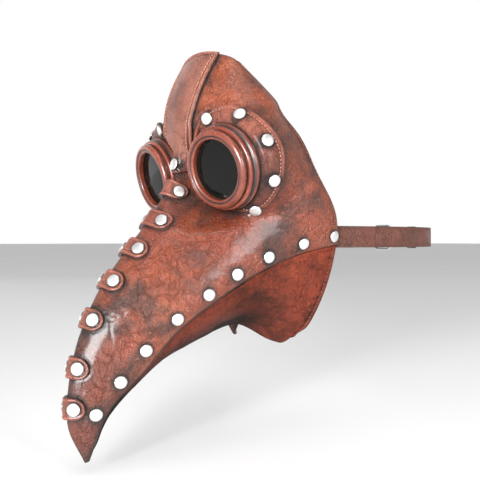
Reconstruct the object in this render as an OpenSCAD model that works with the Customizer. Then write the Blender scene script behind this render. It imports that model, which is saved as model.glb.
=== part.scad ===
// Plague doctor mask: a stitched and riveted leather beak mask with two round eyepieces and a buckled
// head strap. Millimetres, +Z up, the beak points to -Y, +X is the wearer's left.
// The origin is the middle of the face opening, the mouth of the shell that the face enters.

/* [Leather] */
// Thickness of the shell panels
panel_t = 3; // [2.5:0.25:3.5]
// Thickness of the tabs, the forehead strip and the eye flanges
trim_t = 2.8; // [2:0.2:3]
// Gap between two layers of leather
layer_gap = 0.5; // [0.4:0.05:0.6]
// How far the jaw panel is tucked up under the side panel
tuck = 21; // [20:1:22]
// Width of the strip on the inside of the seam under the beak
keel_w = 12; // [10:1:14]

/* [Eyepieces] */
// Radius of the hole in the side panel
eye_hole_r = 33.4; // [33.2:0.1:33.6]
// Outer radius of the widest step of the eyecup
cup_r = 36.2; // [35.8:0.1:36.4]
// Height of the front of the eyecup over the side panel
cup_h = 16; // [15:0.5:17]
// Outer radius of the bezel
bezel_r = 32.5; // [32:0.1:32.8]
// Radius of the clear opening in the bezel
view_r = 25; // [24.5:0.1:25.5]
// Thickness of the lens
lens_t = 2.4; // [2:0.1:2.6]

/* [Rivets] */
// Radius of a rivet head
rivet_r = 5.4; // [5:0.1:5.6]
// Height of a rivet head
rivet_h = 2; // [1.6:0.1:2.4]
// Radius of a rivet shank
shank_r = 1.5; // [1.2:0.1:1.6]
// Radius of the cap on the inside
back_r = 3.6; // [3.2:0.1:3.8]

/* [Tabs] */
// Width of a ridge tab, along the beak
tab_w = 17; // [15:1:18]
// How far a ridge tab reaches past its rivet
tab_reach = 8; // [7:0.5:9]

/* [Strap] */
// Width of the head strap
strap_w = 20; // [18:1:22]
// Thickness of the head strap
strap_t = 2.4; // [2:0.2:2.6]
// Distance between the holes in the right strap
hole_step = 14; // [12:1:15]
// Number of holes in the right strap
holes = 5; // [3:1:5]

/* [Hidden] */

LEATHER = [0.62, 0.36, 0.28];
DARK_LEATHER = [0.44, 0.25, 0.2];
STEEL = [0.88, 0.89, 0.9];

// The ridge in the middle plane, as [y, z]: beak tip, nose bridge (index 7), top of the forehead.
RIDGE = [
    [-217, -236], [-231, -205], [-230, -170], [-222, -137], [-206, -103], [-183, -72], [-158, -42],
    [-139, -14], [-130, 8], [-131, 32], [-128, 56], [-120, 80], [-106, 106]
];
// The seam between side panel and jaw panel: from the beak tip to the cheek corner.
SEAM = [
    [3, -214, -234], [14, -202, -195], [25, -177, -166], [36, -151, -134], [49, -118, -108],
    [59, -86, -88], [67, -47, -73], [74, -4, -64]
];
// The rear edge of the side panel: from the cheek corner up to the top of the forehead.
REAR = [
    [74, -4, -64], [79, -14, -34], [82, -40, -2], [76, -56, 31], [62, -74, 62], [38, -91, 93]
];
// The lower edge of the jaw panel: under the beak to the throat (index 5), then out to the jaw corner.
LOW = [
    [0, -212, -232], [0, -196, -203], [0, -170, -178], [0, -142, -161], [0, -105, -148],
    [0, -66, -139], [26, -48, -152], [42, -30, -159]
];
// How a section runs from ridge to edge: reach and drop of its first handle, flare and reach of its second.
BEAK_H = [0.35, 0.04, 0.08, 0.4];
HANDLES = concat([for (i = [0:5]) BEAK_H], [
    [0.38, 0.06, 0.12, 0.5], [0.4, 0.08, 0.2, 0.6], [0.4, 0.08, 0.26, 0.72], [0.42, 0.02, 0.26, 0.74],
    [0.45, 0, 0.2, 0.62], [0.48, 0, 0.14, 0.5], [0.5, 0, 0.12, 0.45]
]);
// Outward bulge of the jaw panel between seam and lower edge
BULGE = [[0], [2], [4], [6], [7], [8], [9], [9]];
CHEEK_T = len(SEAM) - 1;
TOP_T = len(RIDGE) - 1;

// Eyepiece: its centre on the side panel, its turn outward and its pitch down
EYE = [47.5, -108, 2];
EYE_YAW = 8;
EYE_PITCH = 15;
FLAT_R = 37;
BLEND_R = 52;
// Outer radius of the flange every 45 degrees: temple, temple top, top, nose top, nose, nose bottom ...
FLANGE_R = [[53], [52], [51], [45], [37.5], [37.5], [40], [48]];
FLANGE_IN = 33.8;
FLANGE_RIVET_A = [108, 65, 22, -21, -64];
FLANGE_RIVET_R = [44, 44, 44, 44, 42];

// Where the rivets sit along the ridge and the seam
TAB_T = [1.4, 2.3, 3.4, 4.3, 5.15, 5.95];
TAB_RIVET_X = [5.5, 6, 7.5, 9, 11, 13];
BRIDGE_T = 6.75;
BRIDGE_X = 7;
BRIDGE_LIFT = 0.5;
BRIDGE_REACH = 7;
STRIP_END_T = 7.5;
STRIP_RIVET_T = 7.88;
SEAM_RIVET_T = [1.1, 1.87, 2.6, 3.38, 4.1, 4.84, 5.6, 6.42, 7.15];
// Distance of each rivet from the edge; the last one holds the strap and sits nearer to it
SEAM_RIVET_D = [14, 16.5, 17, 17, 17, 17, 17, 17, 7];

// Head strap: its height, the buckle's place at the back of the head and the strap's outline seen from above
STRAP_Z = -57;
BACK_Y = 150;
BAR_X = 10;
BAR_R = 1.5;
BAR_GAP = 0.3;
FRAME_L = 20;
ARM_Z = strap_w / 2 + 3;
FOLD_X = 32;
STRAP_START = [[63.4, -22], [66.2, -7], [70.4, 12], [77.5, 45]];
LAYER_Y = BACK_Y + strap_t / 2;
TAIL_Y = BACK_Y - 8;
LEFT_ROUTE = concat(STRAP_START, [
    [83, 80], [80, 114], [72, 137], [61, LAYER_Y - 2], [50, LAYER_Y], [40, LAYER_Y], [30, LAYER_Y]
]);
RIGHT_ROUTE = concat([for (p = STRAP_START) [-p[0], p[1]]], [
    [-83, 78], [-78, 108], [-62, 132], [-38, TAIL_Y - 1], [-18, TAIL_Y], [14, TAIL_Y], [46, TAIL_Y]
]);
KEEPER_X = 38;
KEEPER_W = 7;
KEEPER_T = 1.5;
KEEPER_GAP = 0.4;
PRONG_R = 1.2;
PRONG_W = 4;
FIRST_HOLE_X = 34;
HOLE_R = 2;

// ---- curves and the shell surface ----

function lerp(a, b, u) = a + (b - a) * u;
function smooth(u) = let (v = min(max(u, 0), 1)) v * v * (3 - 2 * v);
function unit(v) = v / norm(v);
function at(points, i) =
    i < 0 ? 2 * points[0] - points[1] :
    i >= len(points) ? 2 * points[len(points) - 1] - points[len(points) - 2] : points[i];
// A smooth curve through the points, at parameter t from 0 to len - 1
function curve(points, t) =
    let (v = min(max(t, 0), len(points) - 1))
    let (i = min(floor(v), len(points) - 2), u = v - i)
    let (a = at(points, i - 1), b = points[i], c = points[i + 1], d = at(points, i + 2))
    0.5 * (2 * b + (c - a) * u + (2 * a - 5 * b + 4 * c - d) * u * u + (3 * b - a - 3 * c + d) * u * u * u);

function ridge(t) = let (p = curve(RIDGE, t)) [0, p[0], p[1]];
function edge(t) = t <= CHEEK_T ? curve(SEAM, t) : curve(REAR, t - CHEEK_T);

// The section at t, from the ridge (s = 0) to the edge (s = 1)
function section(t, s) =
    let (r = ridge(t), e = edge(t), h = curve(HANDLES, t))
    let (drop = [0, e[1] - r[1], e[2] - r[2]])
    let (p1 = r + drop * h[1] + [h[0] * e[0], 0, 0], p2 = e - drop * h[3] + [h[2] * e[0], 0, 0])
    let (k = 1 - s)
    r * k * k * k + 3 * p1 * s * k * k + 3 * p2 * s * s * k + e * s * s * s;

EYE_N = [sin(EYE_YAW) * cos(EYE_PITCH), -cos(EYE_YAW) * cos(EYE_PITCH), -sin(EYE_PITCH)];
EYE_U = [cos(EYE_YAW), sin(EYE_YAW), 0];
EYE_W = cross(EYE_N, EYE_U);

// Outer face of the side panel: the section, made flat round the eyepiece
function skin(t, s) =
    let (p = section(t, s), d = p - EYE, h = d * EYE_N, r = norm([d * EYE_U, d * EYE_W]))
    let (k = (1 - smooth((r - FLAT_R) / (BLEND_R - FLAT_R))) * smooth((h + 55) / 27))
    p - EYE_N * h * k;
STEP = 0.004;
function skin_n(t, s) =
    let (ds = skin(t, min(s + STEP, 1)) - skin(t, max(s - STEP, 0)))
    let (dt = skin(min(t + STEP, TOP_T), s) - skin(max(t - STEP, 0), s))
    let (n = cross(ds, dt))
    s <= 0 ? unit([0, n[1], n[2]]) : unit(n);
// A point at height off over the outer face
function over(t, s, off) = skin(t, s) + skin_n(t, s) * off;
// Panels get thinner toward the beak tip
function shell_t(t) = min(panel_t, 0.28 * edge(t)[0]);

// The s at which the section is x from the middle plane
function s_at(t, x, s = 0.2, n = 7) =
    n == 0 ? s :
    let (f = section(t, s)[0] - x, g = (section(t, s + 0.01)[0] - section(t, s)[0]) / 0.01)
    s_at(t, x, min(max(s - f / g, 0), 1), n - 1);
// The s at which the section is d short of the edge
function s_near(t, d) = max(0.55, 1 - d * 0.2 / norm(skin(t, 1) - skin(t, 0.8)));

// Flat coordinates round the eyepiece, stretched where the face turns back to the temple
function chart(t, s) =
    let (d = skin(t, s) - EYE, u = d * EYE_U, w = d * EYE_W, h = d * EYE_N, r = max(norm([u, w]), 0.001))
    [u, w] * (1 + 0.6 * max(0, -h) / r);
// The [t, s] of a chart point, by Newton steps
function locate(a, q = [8.6, 0.45], n = 10) =
    n == 0 ? q :
    let (c = chart(q[0], q[1]))
    let (ct = (chart(q[0] + 0.01, q[1]) - c) * 100, cs = (chart(q[0], q[1] + 0.01) - c) * 100)
    let (e = a - c, det = ct[0] * cs[1] - ct[1] * cs[0])
    let (dt = (e[0] * cs[1] - e[1] * cs[0]) / det, ds = (ct[0] * e[1] - ct[1] * e[0]) / det)
    norm(e) < 0.01 ? q :
    locate(a, [q[0] + min(max(dt, -0.4), 0.4), min(max(q[1] + min(max(ds, -0.1), 0.1), 0), 1)], n - 1);

// Outer face of the jaw panel below the seam: v from 0 at the seam to 1 at the lower edge
function jaw(t, v) =
    let (e = over(t, 1, -shell_t(t) - layer_gap), l = curve(LOW, t))
    let (out = unit([e[2] - l[2], 0, l[0] - e[0]]), b = curve(BULGE, t)[0])
    lerp(e, l, v) + out * b * 4 * v * (1 - v);
JAW_STEP = 0.02;
function jaw_n(t, v) =
    let (dv = jaw(t, min(v + JAW_STEP, 1)) - jaw(t, max(v - JAW_STEP, 0)))
    let (dt = jaw(min(t + JAW_STEP, CHEEK_T), v) - jaw(max(t - JAW_STEP, 0), v))
    unit(cross(dv, dt));

// ---- solids ----

// Closed solid between two grids of points, each a list of rows; the first grid is the outer face
module slab(outer, inner) {
    rows = len(outer);
    cols = len(outer[0]);
    n = rows * cols;
    points = concat([for (row = outer) each row], [for (row = inner) each row]);
    rim = concat(
        [for (j = [0:1:cols - 2]) j],
        [for (i = [0:1:rows - 2]) i * cols + cols - 1],
        [for (j = [cols - 1:-1:1]) (rows - 1) * cols + j],
        [for (i = [rows - 1:-1:1]) i * cols]
    );
    faces = concat(
        [for (i = [0:rows - 2], j = [0:cols - 2]) let (a = i * cols + j) each
            [[a, a + cols, a + cols + 1], [a, a + cols + 1, a + 1]]],
        [for (i = [0:rows - 2], j = [0:cols - 2]) let (a = n + i * cols + j) each
            [[a, a + cols + 1, a + cols], [a, a + 1, a + cols + 1]]],
        [for (k = [0:len(rim) - 1]) let (a = rim[k], b = rim[(k + 1) % len(rim)]) each
            [[a, b, n + b], [a, n + b, n + a]]]
    );
    polyhedron(points, faces);
}

// Closed ring between two grids whose rows close on themselves, the outer grid first
module ring_slab(outer, inner) {
    rows = len(outer);
    cols = len(outer[0]);
    n = rows * cols;
    points = concat([for (row = outer) each row], [for (row = inner) each row]);
    last = (rows - 1) * cols;
    faces = concat(
        [for (i = [0:rows - 2], j = [0:cols - 1]) let (a = i * cols, b = (j + 1) % cols) each
            [[a + j, a + b, a + cols + b], [a + j, a + cols + b, a + cols + j]]],
        [for (i = [0:rows - 2], j = [0:cols - 1]) let (a = n + i * cols, b = (j + 1) % cols) each
            [[a + j, a + cols + b, a + b], [a + j, a + cols + j, a + cols + b]]],
        [for (j = [0:cols - 1]) let (b = (j + 1) % cols) each [[j, n + j, n + b], [j, n + b, b]]],
        [for (j = [0:cols - 1]) let (a = last + j, b = last + (j + 1) % cols) each
            [[a, b, n + b], [a, n + b, n + a]]]
    );
    polyhedron(points, faces);
}

// Put a piece with its +Z along n at point p
module stand(p, n) {
    translate(p) rotate([0, acos(n[2]), atan2(n[1], n[0])]) children();
}
module on_eye() {
    stand(EYE, EYE_N) children();
}
module right() {
    mirror([1, 0, 0]) children();
}

// Rows of the shell grid: wide steps along the beak, finer ones round the eyepieces
BEAK_END_T = 5;
BEAK_ROWS = 14;
FACE_ROWS = 34;
SHELL_ROWS = BEAK_ROWS + FACE_ROWS;
SHELL_COLS = 23;
function row_t(i) =
    i <= BEAK_ROWS ? BEAK_END_T * i / BEAK_ROWS : lerp(BEAK_END_T, TOP_T, (i - BEAK_ROWS) / FACE_ROWS);
function shell_point(i, j, k) =
    let (t = row_t(i), s = j / SHELL_COLS)
    let (p = over(t, s, -k * shell_t(t)))
    j == 0 ? [0, p[1], p[2]] : [max(p[0], 0.05 * j), p[1], p[2]];

module side_panel() {
    outer = [for (i = [0:SHELL_ROWS]) [for (j = [0:SHELL_COLS]) shell_point(i, j, 0)]];
    inner = [for (i = [0:SHELL_ROWS]) [for (j = [0:SHELL_COLS]) shell_point(i, j, 1)]];
    difference() {
        slab(outer, inner);
        on_eye() translate([0, 0, -12]) cylinder(h = 24, r = eye_hole_r, $fn = 96);
    }
}

JAW_ROWS = 28;
TUCK_COLS = 3;
JAW_COLS = 8;
// Jaw panel point: columns below TUCK_COLS lie under the side panel, the others hang below the seam
function jaw_point(i, j, k) =
    let (t = CHEEK_T * i / JAW_ROWS, th = shell_t(t))
    let (s = lerp(s_near(t, tuck), 1, j / TUCK_COLS), v = (j - TUCK_COLS) / JAW_COLS)
    let (n = j <= TUCK_COLS ? skin_n(t, s) : unit(lerp(skin_n(t, 1), jaw_n(t, v), smooth(v * 3))))
    let (p = j <= TUCK_COLS ? over(t, s, -th - layer_gap) : jaw(t, v))
    let (q = p - n * k * th)
    [t <= 5 && j == TUCK_COLS + JAW_COLS ? 0 : max(q[0], 0.02), q[1], q[2]];

module jaw_panel() {
    cols = TUCK_COLS + JAW_COLS;
    outer = [for (i = [0:JAW_ROWS]) [for (j = [0:cols]) jaw_point(i, j, 0)]];
    inner = [for (i = [0:JAW_ROWS]) [for (j = [0:cols]) jaw_point(i, j, 1)]];
    slab(outer, inner);
}

// Strip inside the seam where the two jaw panels meet under the beak
KEEL_ROWS = 18;
KEEL_T = 1.2;
function keel_point(i, x, off) =
    let (t = lerp(1.3, 4.8, i / KEEL_ROWS), width = norm(jaw(t, 0.8) - jaw(t, 1)) / 0.2)
    let (v = 1 - abs(x) * keel_w / 2 / width, p = jaw(t, v) - jaw_n(t, v) * (shell_t(t) + 0.6 + off))
    [x == 0 ? 0 : sign(x) * p[0], p[1], p[2]];
module keel_strip() {
    low = [for (i = [0:KEEL_ROWS]) [for (x = [-1:0.5:1]) keel_point(i, x, 0)]];
    top = [for (i = [0:KEEL_ROWS]) [for (x = [-1:0.5:1]) keel_point(i, x, KEEL_T)]];
    color(DARK_LEATHER) slab(top, low);
}

// Direction of the ridge at t
function ridge_way(t) = unit(ridge(t + 0.1) - ridge(t - 0.1));
// The t at which the shell, x from the middle plane, lies a along direction w from point p
function t_along(t, x, p, w, a, n = 4) =
    n == 0 ? t :
    let (f = (skin(t, s_at(t, x)) - p) * w - a, h = (skin(t + 0.05, s_at(t + 0.05, x)) - p) * w - a)
    t_along(t - 0.05 * f / (h - f), x, p, w, a, n - 1);
// How many times longer the shell runs than its width just outside x, square to the ridge
SPAN = 4;
function slant(t, x) =
    let (p = skin(t, s_at(t, x)), at = t_along(t, x + SPAN, p, ridge_way(t), 0))
    norm(skin(at, s_at(at, x + SPAN)) - p) / SPAN;
// Rounded tab across the ridge at t, with a rivet at x on each side and the leather past it
TAB_COLS = 24;
TAB_ROWS = 6;
function tab_point(t, rivet_x, past, i, j, off) =
    let (g = slant(t, rivet_x), x = (rivet_x + past / g) * (2 * j / TAB_COLS - 1), r = tab_w / 2)
    let (in = max(0, (abs(x) - rivet_x) * g - past + r), half = max(sqrt(max(r * r - in * in, 0)), 0.12 * r))
    let (p = skin(t, s_at(t, rivet_x)), aim = half * (2 * i / TAB_ROWS - 1))
    let (tt = t_along(t, abs(x), p, ridge_way(t), aim), q = over(tt, s_at(tt, abs(x)), off))
    [x == 0 ? 0 : sign(x) * abs(q[0]), q[1], q[2]];

module tab(t, x, past = tab_reach, gap = layer_gap) {
    top = [for (i = [0:TAB_ROWS]) [for (j = [0:TAB_COLS]) tab_point(t, x, past, i, j, gap + trim_t)]];
    low = [for (i = [0:TAB_ROWS]) [for (j = [0:TAB_COLS]) tab_point(t, x, past, i, j, gap)]];
    color(LEATHER) slab(top, low);
}

// Half width of the forehead strip in equal steps from its lower end to the top
STRIP_W = [[9], [10.5], [14], [19.5], [22], [23.5], [24.5], [25], [25]];
STRIP_ROWS = 32;
STRIP_COLS = 12;
END_R = 10;
T_PACE = 24;
function strip_half(t) =
    let (u = (t - STRIP_END_T) / (TOP_T - STRIP_END_T), end = (t - STRIP_END_T) * T_PACE)
    let (w = curve(STRIP_W, 8 * u)[0], short = END_R - end)
    end >= END_R ? w : min(w, max(sqrt(END_R * END_R - short * short), 1.5));
function strip_point(i, j, off) =
    let (u = i / STRIP_ROWS, t = lerp(STRIP_END_T, TOP_T, u * u * 0.4 + u * 0.6))
    let (x = strip_half(t) * (2 * j / STRIP_COLS - 1))
    let (p = over(t, s_at(t, abs(x)), off))
    [x == 0 ? 0 : sign(x) * abs(p[0]), p[1], p[2]];

module forehead_strip() {
    top = [for (i = [0:STRIP_ROWS]) [for (j = [0:STRIP_COLS]) strip_point(i, j, layer_gap + trim_t)]];
    low = [for (i = [0:STRIP_ROWS]) [for (j = [0:STRIP_COLS]) strip_point(i, j, layer_gap)]];
    color(LEATHER) slab(top, low);
}

// Flange of leather round the eyecup, following the face back to the temple
FLANGE_A = 60;
FLANGE_ROWS = 6;
FLANGE_GAP = layer_gap + 0.6;
FLANGE_LOOP = concat([FLANGE_R[7]], FLANGE_R, [FLANGE_R[0], FLANGE_R[1]]);
function flange_r(a) = curve(FLANGE_LOOP, 1 + a / 45)[0];
function flange_row(i, off) =
    [for (k = [0:FLANGE_A - 1])
        let (a = 360 * k / FLANGE_A, r = lerp(FLANGE_IN, flange_r(a), i / FLANGE_ROWS))
        let (q = locate([cos(a), sin(a)] * r, locate([cos(a), sin(a)] * 0.6 * r)))
        over(q[0], q[1], off)];

module eye_flange() {
    top = [for (i = [0:FLANGE_ROWS]) flange_row(i, FLANGE_GAP + trim_t)];
    low = [for (i = [0:FLANGE_ROWS]) flange_row(i, FLANGE_GAP)];
    color(LEATHER) ring_slab(top, low);
}

// Ring turned from a list of [radius, height] points
module turned(profile) {
    rotate_extrude($fn = 96) polygon(profile);
}

TUBE_R = eye_hole_r - 0.3;
NUT_TOP = -panel_t - 0.3;
NUT_T = 4;
SEAT_H = cup_h - lens_t - 1.6;
module eyecup() {
    base = FLANGE_GAP + trim_t + 0.1;
    color(LEATHER) on_eye() turned([
        [28.2, NUT_TOP - NUT_T - 1], [TUBE_R - 1, NUT_TOP - NUT_T - 1], [TUBE_R, NUT_TOP - NUT_T],
        [TUBE_R, base], [cup_r, base], [cup_r + 0.2, base + 2.5], [cup_r - 0.6, base + 4.6],
        [35.2, base + 5.4], [34.8, base + 7], [35, cup_h - 3.2], [34, cup_h - 1.4], [31, cup_h - 1],
        [30.6, cup_h], [29, cup_h], [29, SEAT_H - 0.8], [26, SEAT_H - 0.8], [26, SEAT_H - 2.4],
        [28.2, SEAT_H - 4]
    ]);
}
module cup_nut() {
    out = cup_r - 0.6;
    color(DARK_LEATHER) on_eye() turned([
        [TUBE_R + 0.15, NUT_TOP - NUT_T], [out - 0.8, NUT_TOP - NUT_T], [out, NUT_TOP - NUT_T + 0.8],
        [out, NUT_TOP - 0.2], [TUBE_R + 0.15, NUT_TOP - 0.2]
    ]);
}
module gasket() {
    color([0.1, 0.1, 0.1]) on_eye() turned([
        [26.2, SEAT_H - 0.7], [28.8, SEAT_H - 0.7], [28.8, SEAT_H - 0.05], [26.2, SEAT_H - 0.05]
    ]);
}
module lens() {
    color([0.2, 0.2, 0.2]) on_eye() translate([0, 0, SEAT_H]) cylinder(h = lens_t, r = 28.7, $fn = 96);
}
module bezel() {
    color(LEATHER) on_eye() turned([
        [view_r, SEAT_H + lens_t + 0.1], [28.6, SEAT_H + lens_t + 0.1], [28.8, cup_h + 0.15],
        [bezel_r - 0.6, cup_h + 0.15], [bezel_r, cup_h + 1], [bezel_r, cup_h + 3],
        [bezel_r - 1.4, cup_h + 4.6], [bezel_r - 3.4, cup_h + 5], [bezel_r - 5, cup_h + 4.4],
        [view_r + 0.6, cup_h + 2]
    ]);
}

// Rivet with its head on the plane z = 0 and its shank going down by depth
module rivet(depth) {
    rotate_extrude($fn = 48) polygon([
        [0, -depth], [shank_r, -depth], [shank_r, 0], [rivet_r, 0], [rivet_r, 0.5],
        [rivet_r * 0.9, rivet_h * 0.62], [rivet_r * 0.7, rivet_h * 0.86], [rivet_r * 0.4, rivet_h * 0.98],
        [0, rivet_h]
    ]);
}
// Cap on the inside, pressed on the end of the shank
module rivet_back(depth, r = back_r) {
    translate([0, 0, -depth - 1]) cylinder(h = 1.1, r = r, $fn = 48);
}
module rivet_at(t, s, off) {
    stand(over(t, s, off), skin_n(t, s)) children();
}

TRIM_H = layer_gap + trim_t + 0.05;
TRIM_DEPTH = TRIM_H + panel_t + 0.1;
FLANGE_DEPTH = FLANGE_GAP + trim_t + panel_t + 0.15;
SEAM_DEPTH = 2 * panel_t + layer_gap + 0.15;
STRAP_DEPTH = SEAM_DEPTH + strap_t + 4.4;
module each_tab_rivet() {
    for (i = [0:len(TAB_T) - 1]) {
        rivet_at(TAB_T[i], s_at(TAB_T[i], TAB_RIVET_X[i]), TRIM_H) children();
    }
    rivet_at(BRIDGE_T, s_at(BRIDGE_T, BRIDGE_X), TRIM_H + BRIDGE_LIFT) children();
}
// The last seam rivet also goes through the end of the head strap
LAST = len(SEAM_RIVET_T) - 1;
module each_seam_rivet() {
    for (i = [0:LAST - 1]) {
        t = SEAM_RIVET_T[i];
        rivet_at(t, s_near(t, SEAM_RIVET_D[i]), 0.05) children();
    }
}
module last_seam_rivet() {
    rivet_at(SEAM_RIVET_T[LAST], s_near(SEAM_RIVET_T[LAST], SEAM_RIVET_D[LAST]), 0.05) children();
}
module each_flange_rivet() {
    for (i = [0:len(FLANGE_RIVET_A) - 1]) {
        way = [cos(FLANGE_RIVET_A[i]), sin(FLANGE_RIVET_A[i])];
        q = locate(way * FLANGE_RIVET_R[i], locate(way * 25));
        rivet_at(q[0], q[1], FLANGE_GAP + trim_t + 0.05) children();
    }
}
module each_strip_rivet() {
    rivet_at(STRIP_RIVET_T, 0, TRIM_H) children();
}

module tab_rivets() {
    color(STEEL) {
        each_tab_rivet() rivet(TRIM_DEPTH);
        right() each_tab_rivet() rivet(TRIM_DEPTH);
    }
}
module tab_rivet_backs() {
    color(STEEL) {
        each_tab_rivet() rivet_back(TRIM_DEPTH);
        right() each_tab_rivet() rivet_back(TRIM_DEPTH);
    }
}
module strip_rivets() {
    color(STEEL) each_strip_rivet() rivet(TRIM_DEPTH);
}
module strip_rivet_backs() {
    color(STEEL) each_strip_rivet() rivet_back(TRIM_DEPTH, back_r - 1.4);
}
module seam_rivets() {
    color(STEEL) {
        each_seam_rivet() rivet(SEAM_DEPTH);
        last_seam_rivet() rivet(STRAP_DEPTH);
    }
}
module seam_rivet_backs() {
    color(STEEL) {
        each_seam_rivet() rivet_back(SEAM_DEPTH);
        last_seam_rivet() rivet_back(STRAP_DEPTH);
    }
}
module flange_rivets() {
    color(STEEL) each_flange_rivet() rivet(FLANGE_DEPTH);
}
module flange_rivet_backs() {
    color(STEEL) each_flange_rivet() rivet_back(FLANGE_DEPTH);
}

// ---- head strap and buckle ----

// Outline of a band of thickness strap_t along a route, seen from above
function band(route, steps = 6) =
    let (n = (len(route) - 1) * steps)
    let (mid = [for (i = [0:n]) curve(route, i / steps)])
    let (dir = [for (i = [0:n]) unit(mid[min(i + 1, n)] - mid[max(i - 1, 0)])])
    concat(
        [for (i = [0:n]) mid[i] + [dir[i][1], -dir[i][0]] * strap_t / 2],
        [for (i = [n:-1:0]) mid[i] - [dir[i][1], -dir[i][0]] * strap_t / 2]
    );
module strap_body(outline) {
    translate([0, 0, STRAP_Z - strap_w / 2]) linear_extrude(strap_w) polygon(outline);
}

LOOP_IN = BAR_R + BAR_GAP;
LOOP_OUT = LOOP_IN + strap_t;
PINCH = 9;
// The end of the left strap, folded round the buckle's bar and back on itself, seen from above
module fold_outline() {
    difference() {
        union() {
            circle(r = LOOP_OUT, $fn = 48);
            polygon([
                [0, -LOOP_OUT], [PINCH, -strap_t], [FOLD_X - BAR_X, -strap_t], [FOLD_X - BAR_X, strap_t],
                [PINCH, strap_t], [0, LOOP_OUT]
            ]);
        }
        circle(r = LOOP_IN, $fn = 48);
        polygon([[0, -LOOP_IN], [PINCH - 3, 0], [0, LOOP_IN]]);
    }
}
module left_strap() {
    color(DARK_LEATHER) difference() {
        union() {
            strap_body(band(LEFT_ROUTE));
            translate([BAR_X, BACK_Y, STRAP_Z - strap_w / 2]) linear_extrude(strap_w) fold_outline();
        }
        slot_x = LOOP_OUT + 2;
        translate([BAR_X - slot_x, BACK_Y - 10, STRAP_Z - PRONG_W / 2 - 0.5])
            cube([slot_x + 5, 20, PRONG_W + 1]);
    }
}
module right_strap() {
    color(DARK_LEATHER) difference() {
        strap_body(band(RIGHT_ROUTE));
        for (i = [0:holes - 1]) {
            translate([FIRST_HOLE_X - i * hole_step, TAIL_Y + 5, STRAP_Z]) rotate([90, 0, 0])
                cylinder(h = 10, r = HOLE_R, $fn = 32);
        }
    }
}
module strap_rivet() {
    color(STEEL) translate([26, BACK_Y + strap_t + 0.05, STRAP_Z]) rotate([-90, 0, 0]) {
        rivet(2 * strap_t + 0.1);
        rivet_back(2 * strap_t + 0.1);
    }
}
// Loop that slides along the left strap and holds the free end of the right one
module strap_keeper() {
    low = BACK_Y - KEEPER_GAP;
    high = BACK_Y + 2 * strap_t + KEEPER_GAP;
    tall = strap_w + 2 * KEEPER_GAP;
    color(DARK_LEATHER) difference() {
        translate([KEEPER_X - KEEPER_W / 2, low - KEEPER_T, STRAP_Z - tall / 2 - KEEPER_T])
            cube([KEEPER_W, high - low + 2 * KEEPER_T, tall + 2 * KEEPER_T]);
        translate([KEEPER_X - KEEPER_W, low, STRAP_Z - tall / 2]) cube([2 * KEEPER_W, high - low, tall]);
    }
}
// Buckle frame: the bar in the fold, two arms past the edges of the strap and the far bar for the prong
module buckle_frame() {
    color(STEEL) translate([BAR_X, BACK_Y, STRAP_Z]) {
        for (x = [0, -FRAME_L]) {
            translate([x, 0, -ARM_Z]) cylinder(h = 2 * ARM_Z, r = BAR_R, $fn = 32);
        }
        for (z = [-ARM_Z, ARM_Z]) {
            translate([-FRAME_L, 0, z]) rotate([0, 90, 0]) cylinder(h = FRAME_L, r = BAR_R, $fn = 32);
            translate([0, 0, z]) sphere(r = BAR_R, $fn = 32);
            translate([-FRAME_L, 0, z]) sphere(r = BAR_R, $fn = 32);
        }
    }
}
// Prong: an eye round the bar and a pin that rests over the far bar
module buckle_prong() {
    rest = BAR_R + BAR_GAP + PRONG_R;
    rise = atan2(rest - 1, FRAME_L);
    color(STEEL) translate([BAR_X, BACK_Y, STRAP_Z]) difference() {
        union() {
            cylinder(h = PRONG_W, r = LOOP_IN + 1.4, center = true, $fn = 48);
            translate([0, 1, 0]) rotate([0, -90, -rise]) cylinder(h = FRAME_L + 3, r = PRONG_R, $fn = 32);
        }
        cylinder(h = PRONG_W + 2, r = BAR_R + 0.2, center = true, $fn = 48);
    }
}

color(LEATHER) side_panel();  // left_side_panel
color(LEATHER) right() side_panel();  // right_side_panel
color(LEATHER) jaw_panel();  // left_jaw_panel
color(LEATHER) right() jaw_panel();  // right_jaw_panel
keel_strip();
forehead_strip();
tab(BRIDGE_T, BRIDGE_X, BRIDGE_REACH, layer_gap + BRIDGE_LIFT);  // bridge_tab
tab(TAB_T[0], TAB_RIVET_X[0]);  // ridge_tab_1
tab(TAB_T[1], TAB_RIVET_X[1]);  // ridge_tab_2
tab(TAB_T[2], TAB_RIVET_X[2]);  // ridge_tab_3
tab(TAB_T[3], TAB_RIVET_X[3]);  // ridge_tab_4
tab(TAB_T[4], TAB_RIVET_X[4]);  // ridge_tab_5
tab(TAB_T[5], TAB_RIVET_X[5]);  // ridge_tab_6
eye_flange();  // left_eye_flange
right() eye_flange();  // right_eye_flange
eyecup();  // left_eyecup
right() eyecup();  // right_eyecup
cup_nut();  // left_cup_nut
right() cup_nut();  // right_cup_nut
gasket();  // left_gasket
right() gasket();  // right_gasket
lens();  // left_lens
right() lens();  // right_lens
bezel();  // left_bezel
right() bezel();  // right_bezel
tab_rivets();
tab_rivet_backs();
strip_rivets();
strip_rivet_backs();
seam_rivets();  // left_seam_rivets
seam_rivet_backs();  // left_seam_rivet_backs
right() seam_rivets();  // right_seam_rivets
right() seam_rivet_backs();  // right_seam_rivet_backs
flange_rivets();  // left_flange_rivets
flange_rivet_backs();  // left_flange_rivet_backs
right() flange_rivets();  // right_flange_rivets
right() flange_rivet_backs();  // right_flange_rivet_backs
left_strap();
right_strap();
strap_rivet();
strap_keeper();
buckle_frame();
buckle_prong();
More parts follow.
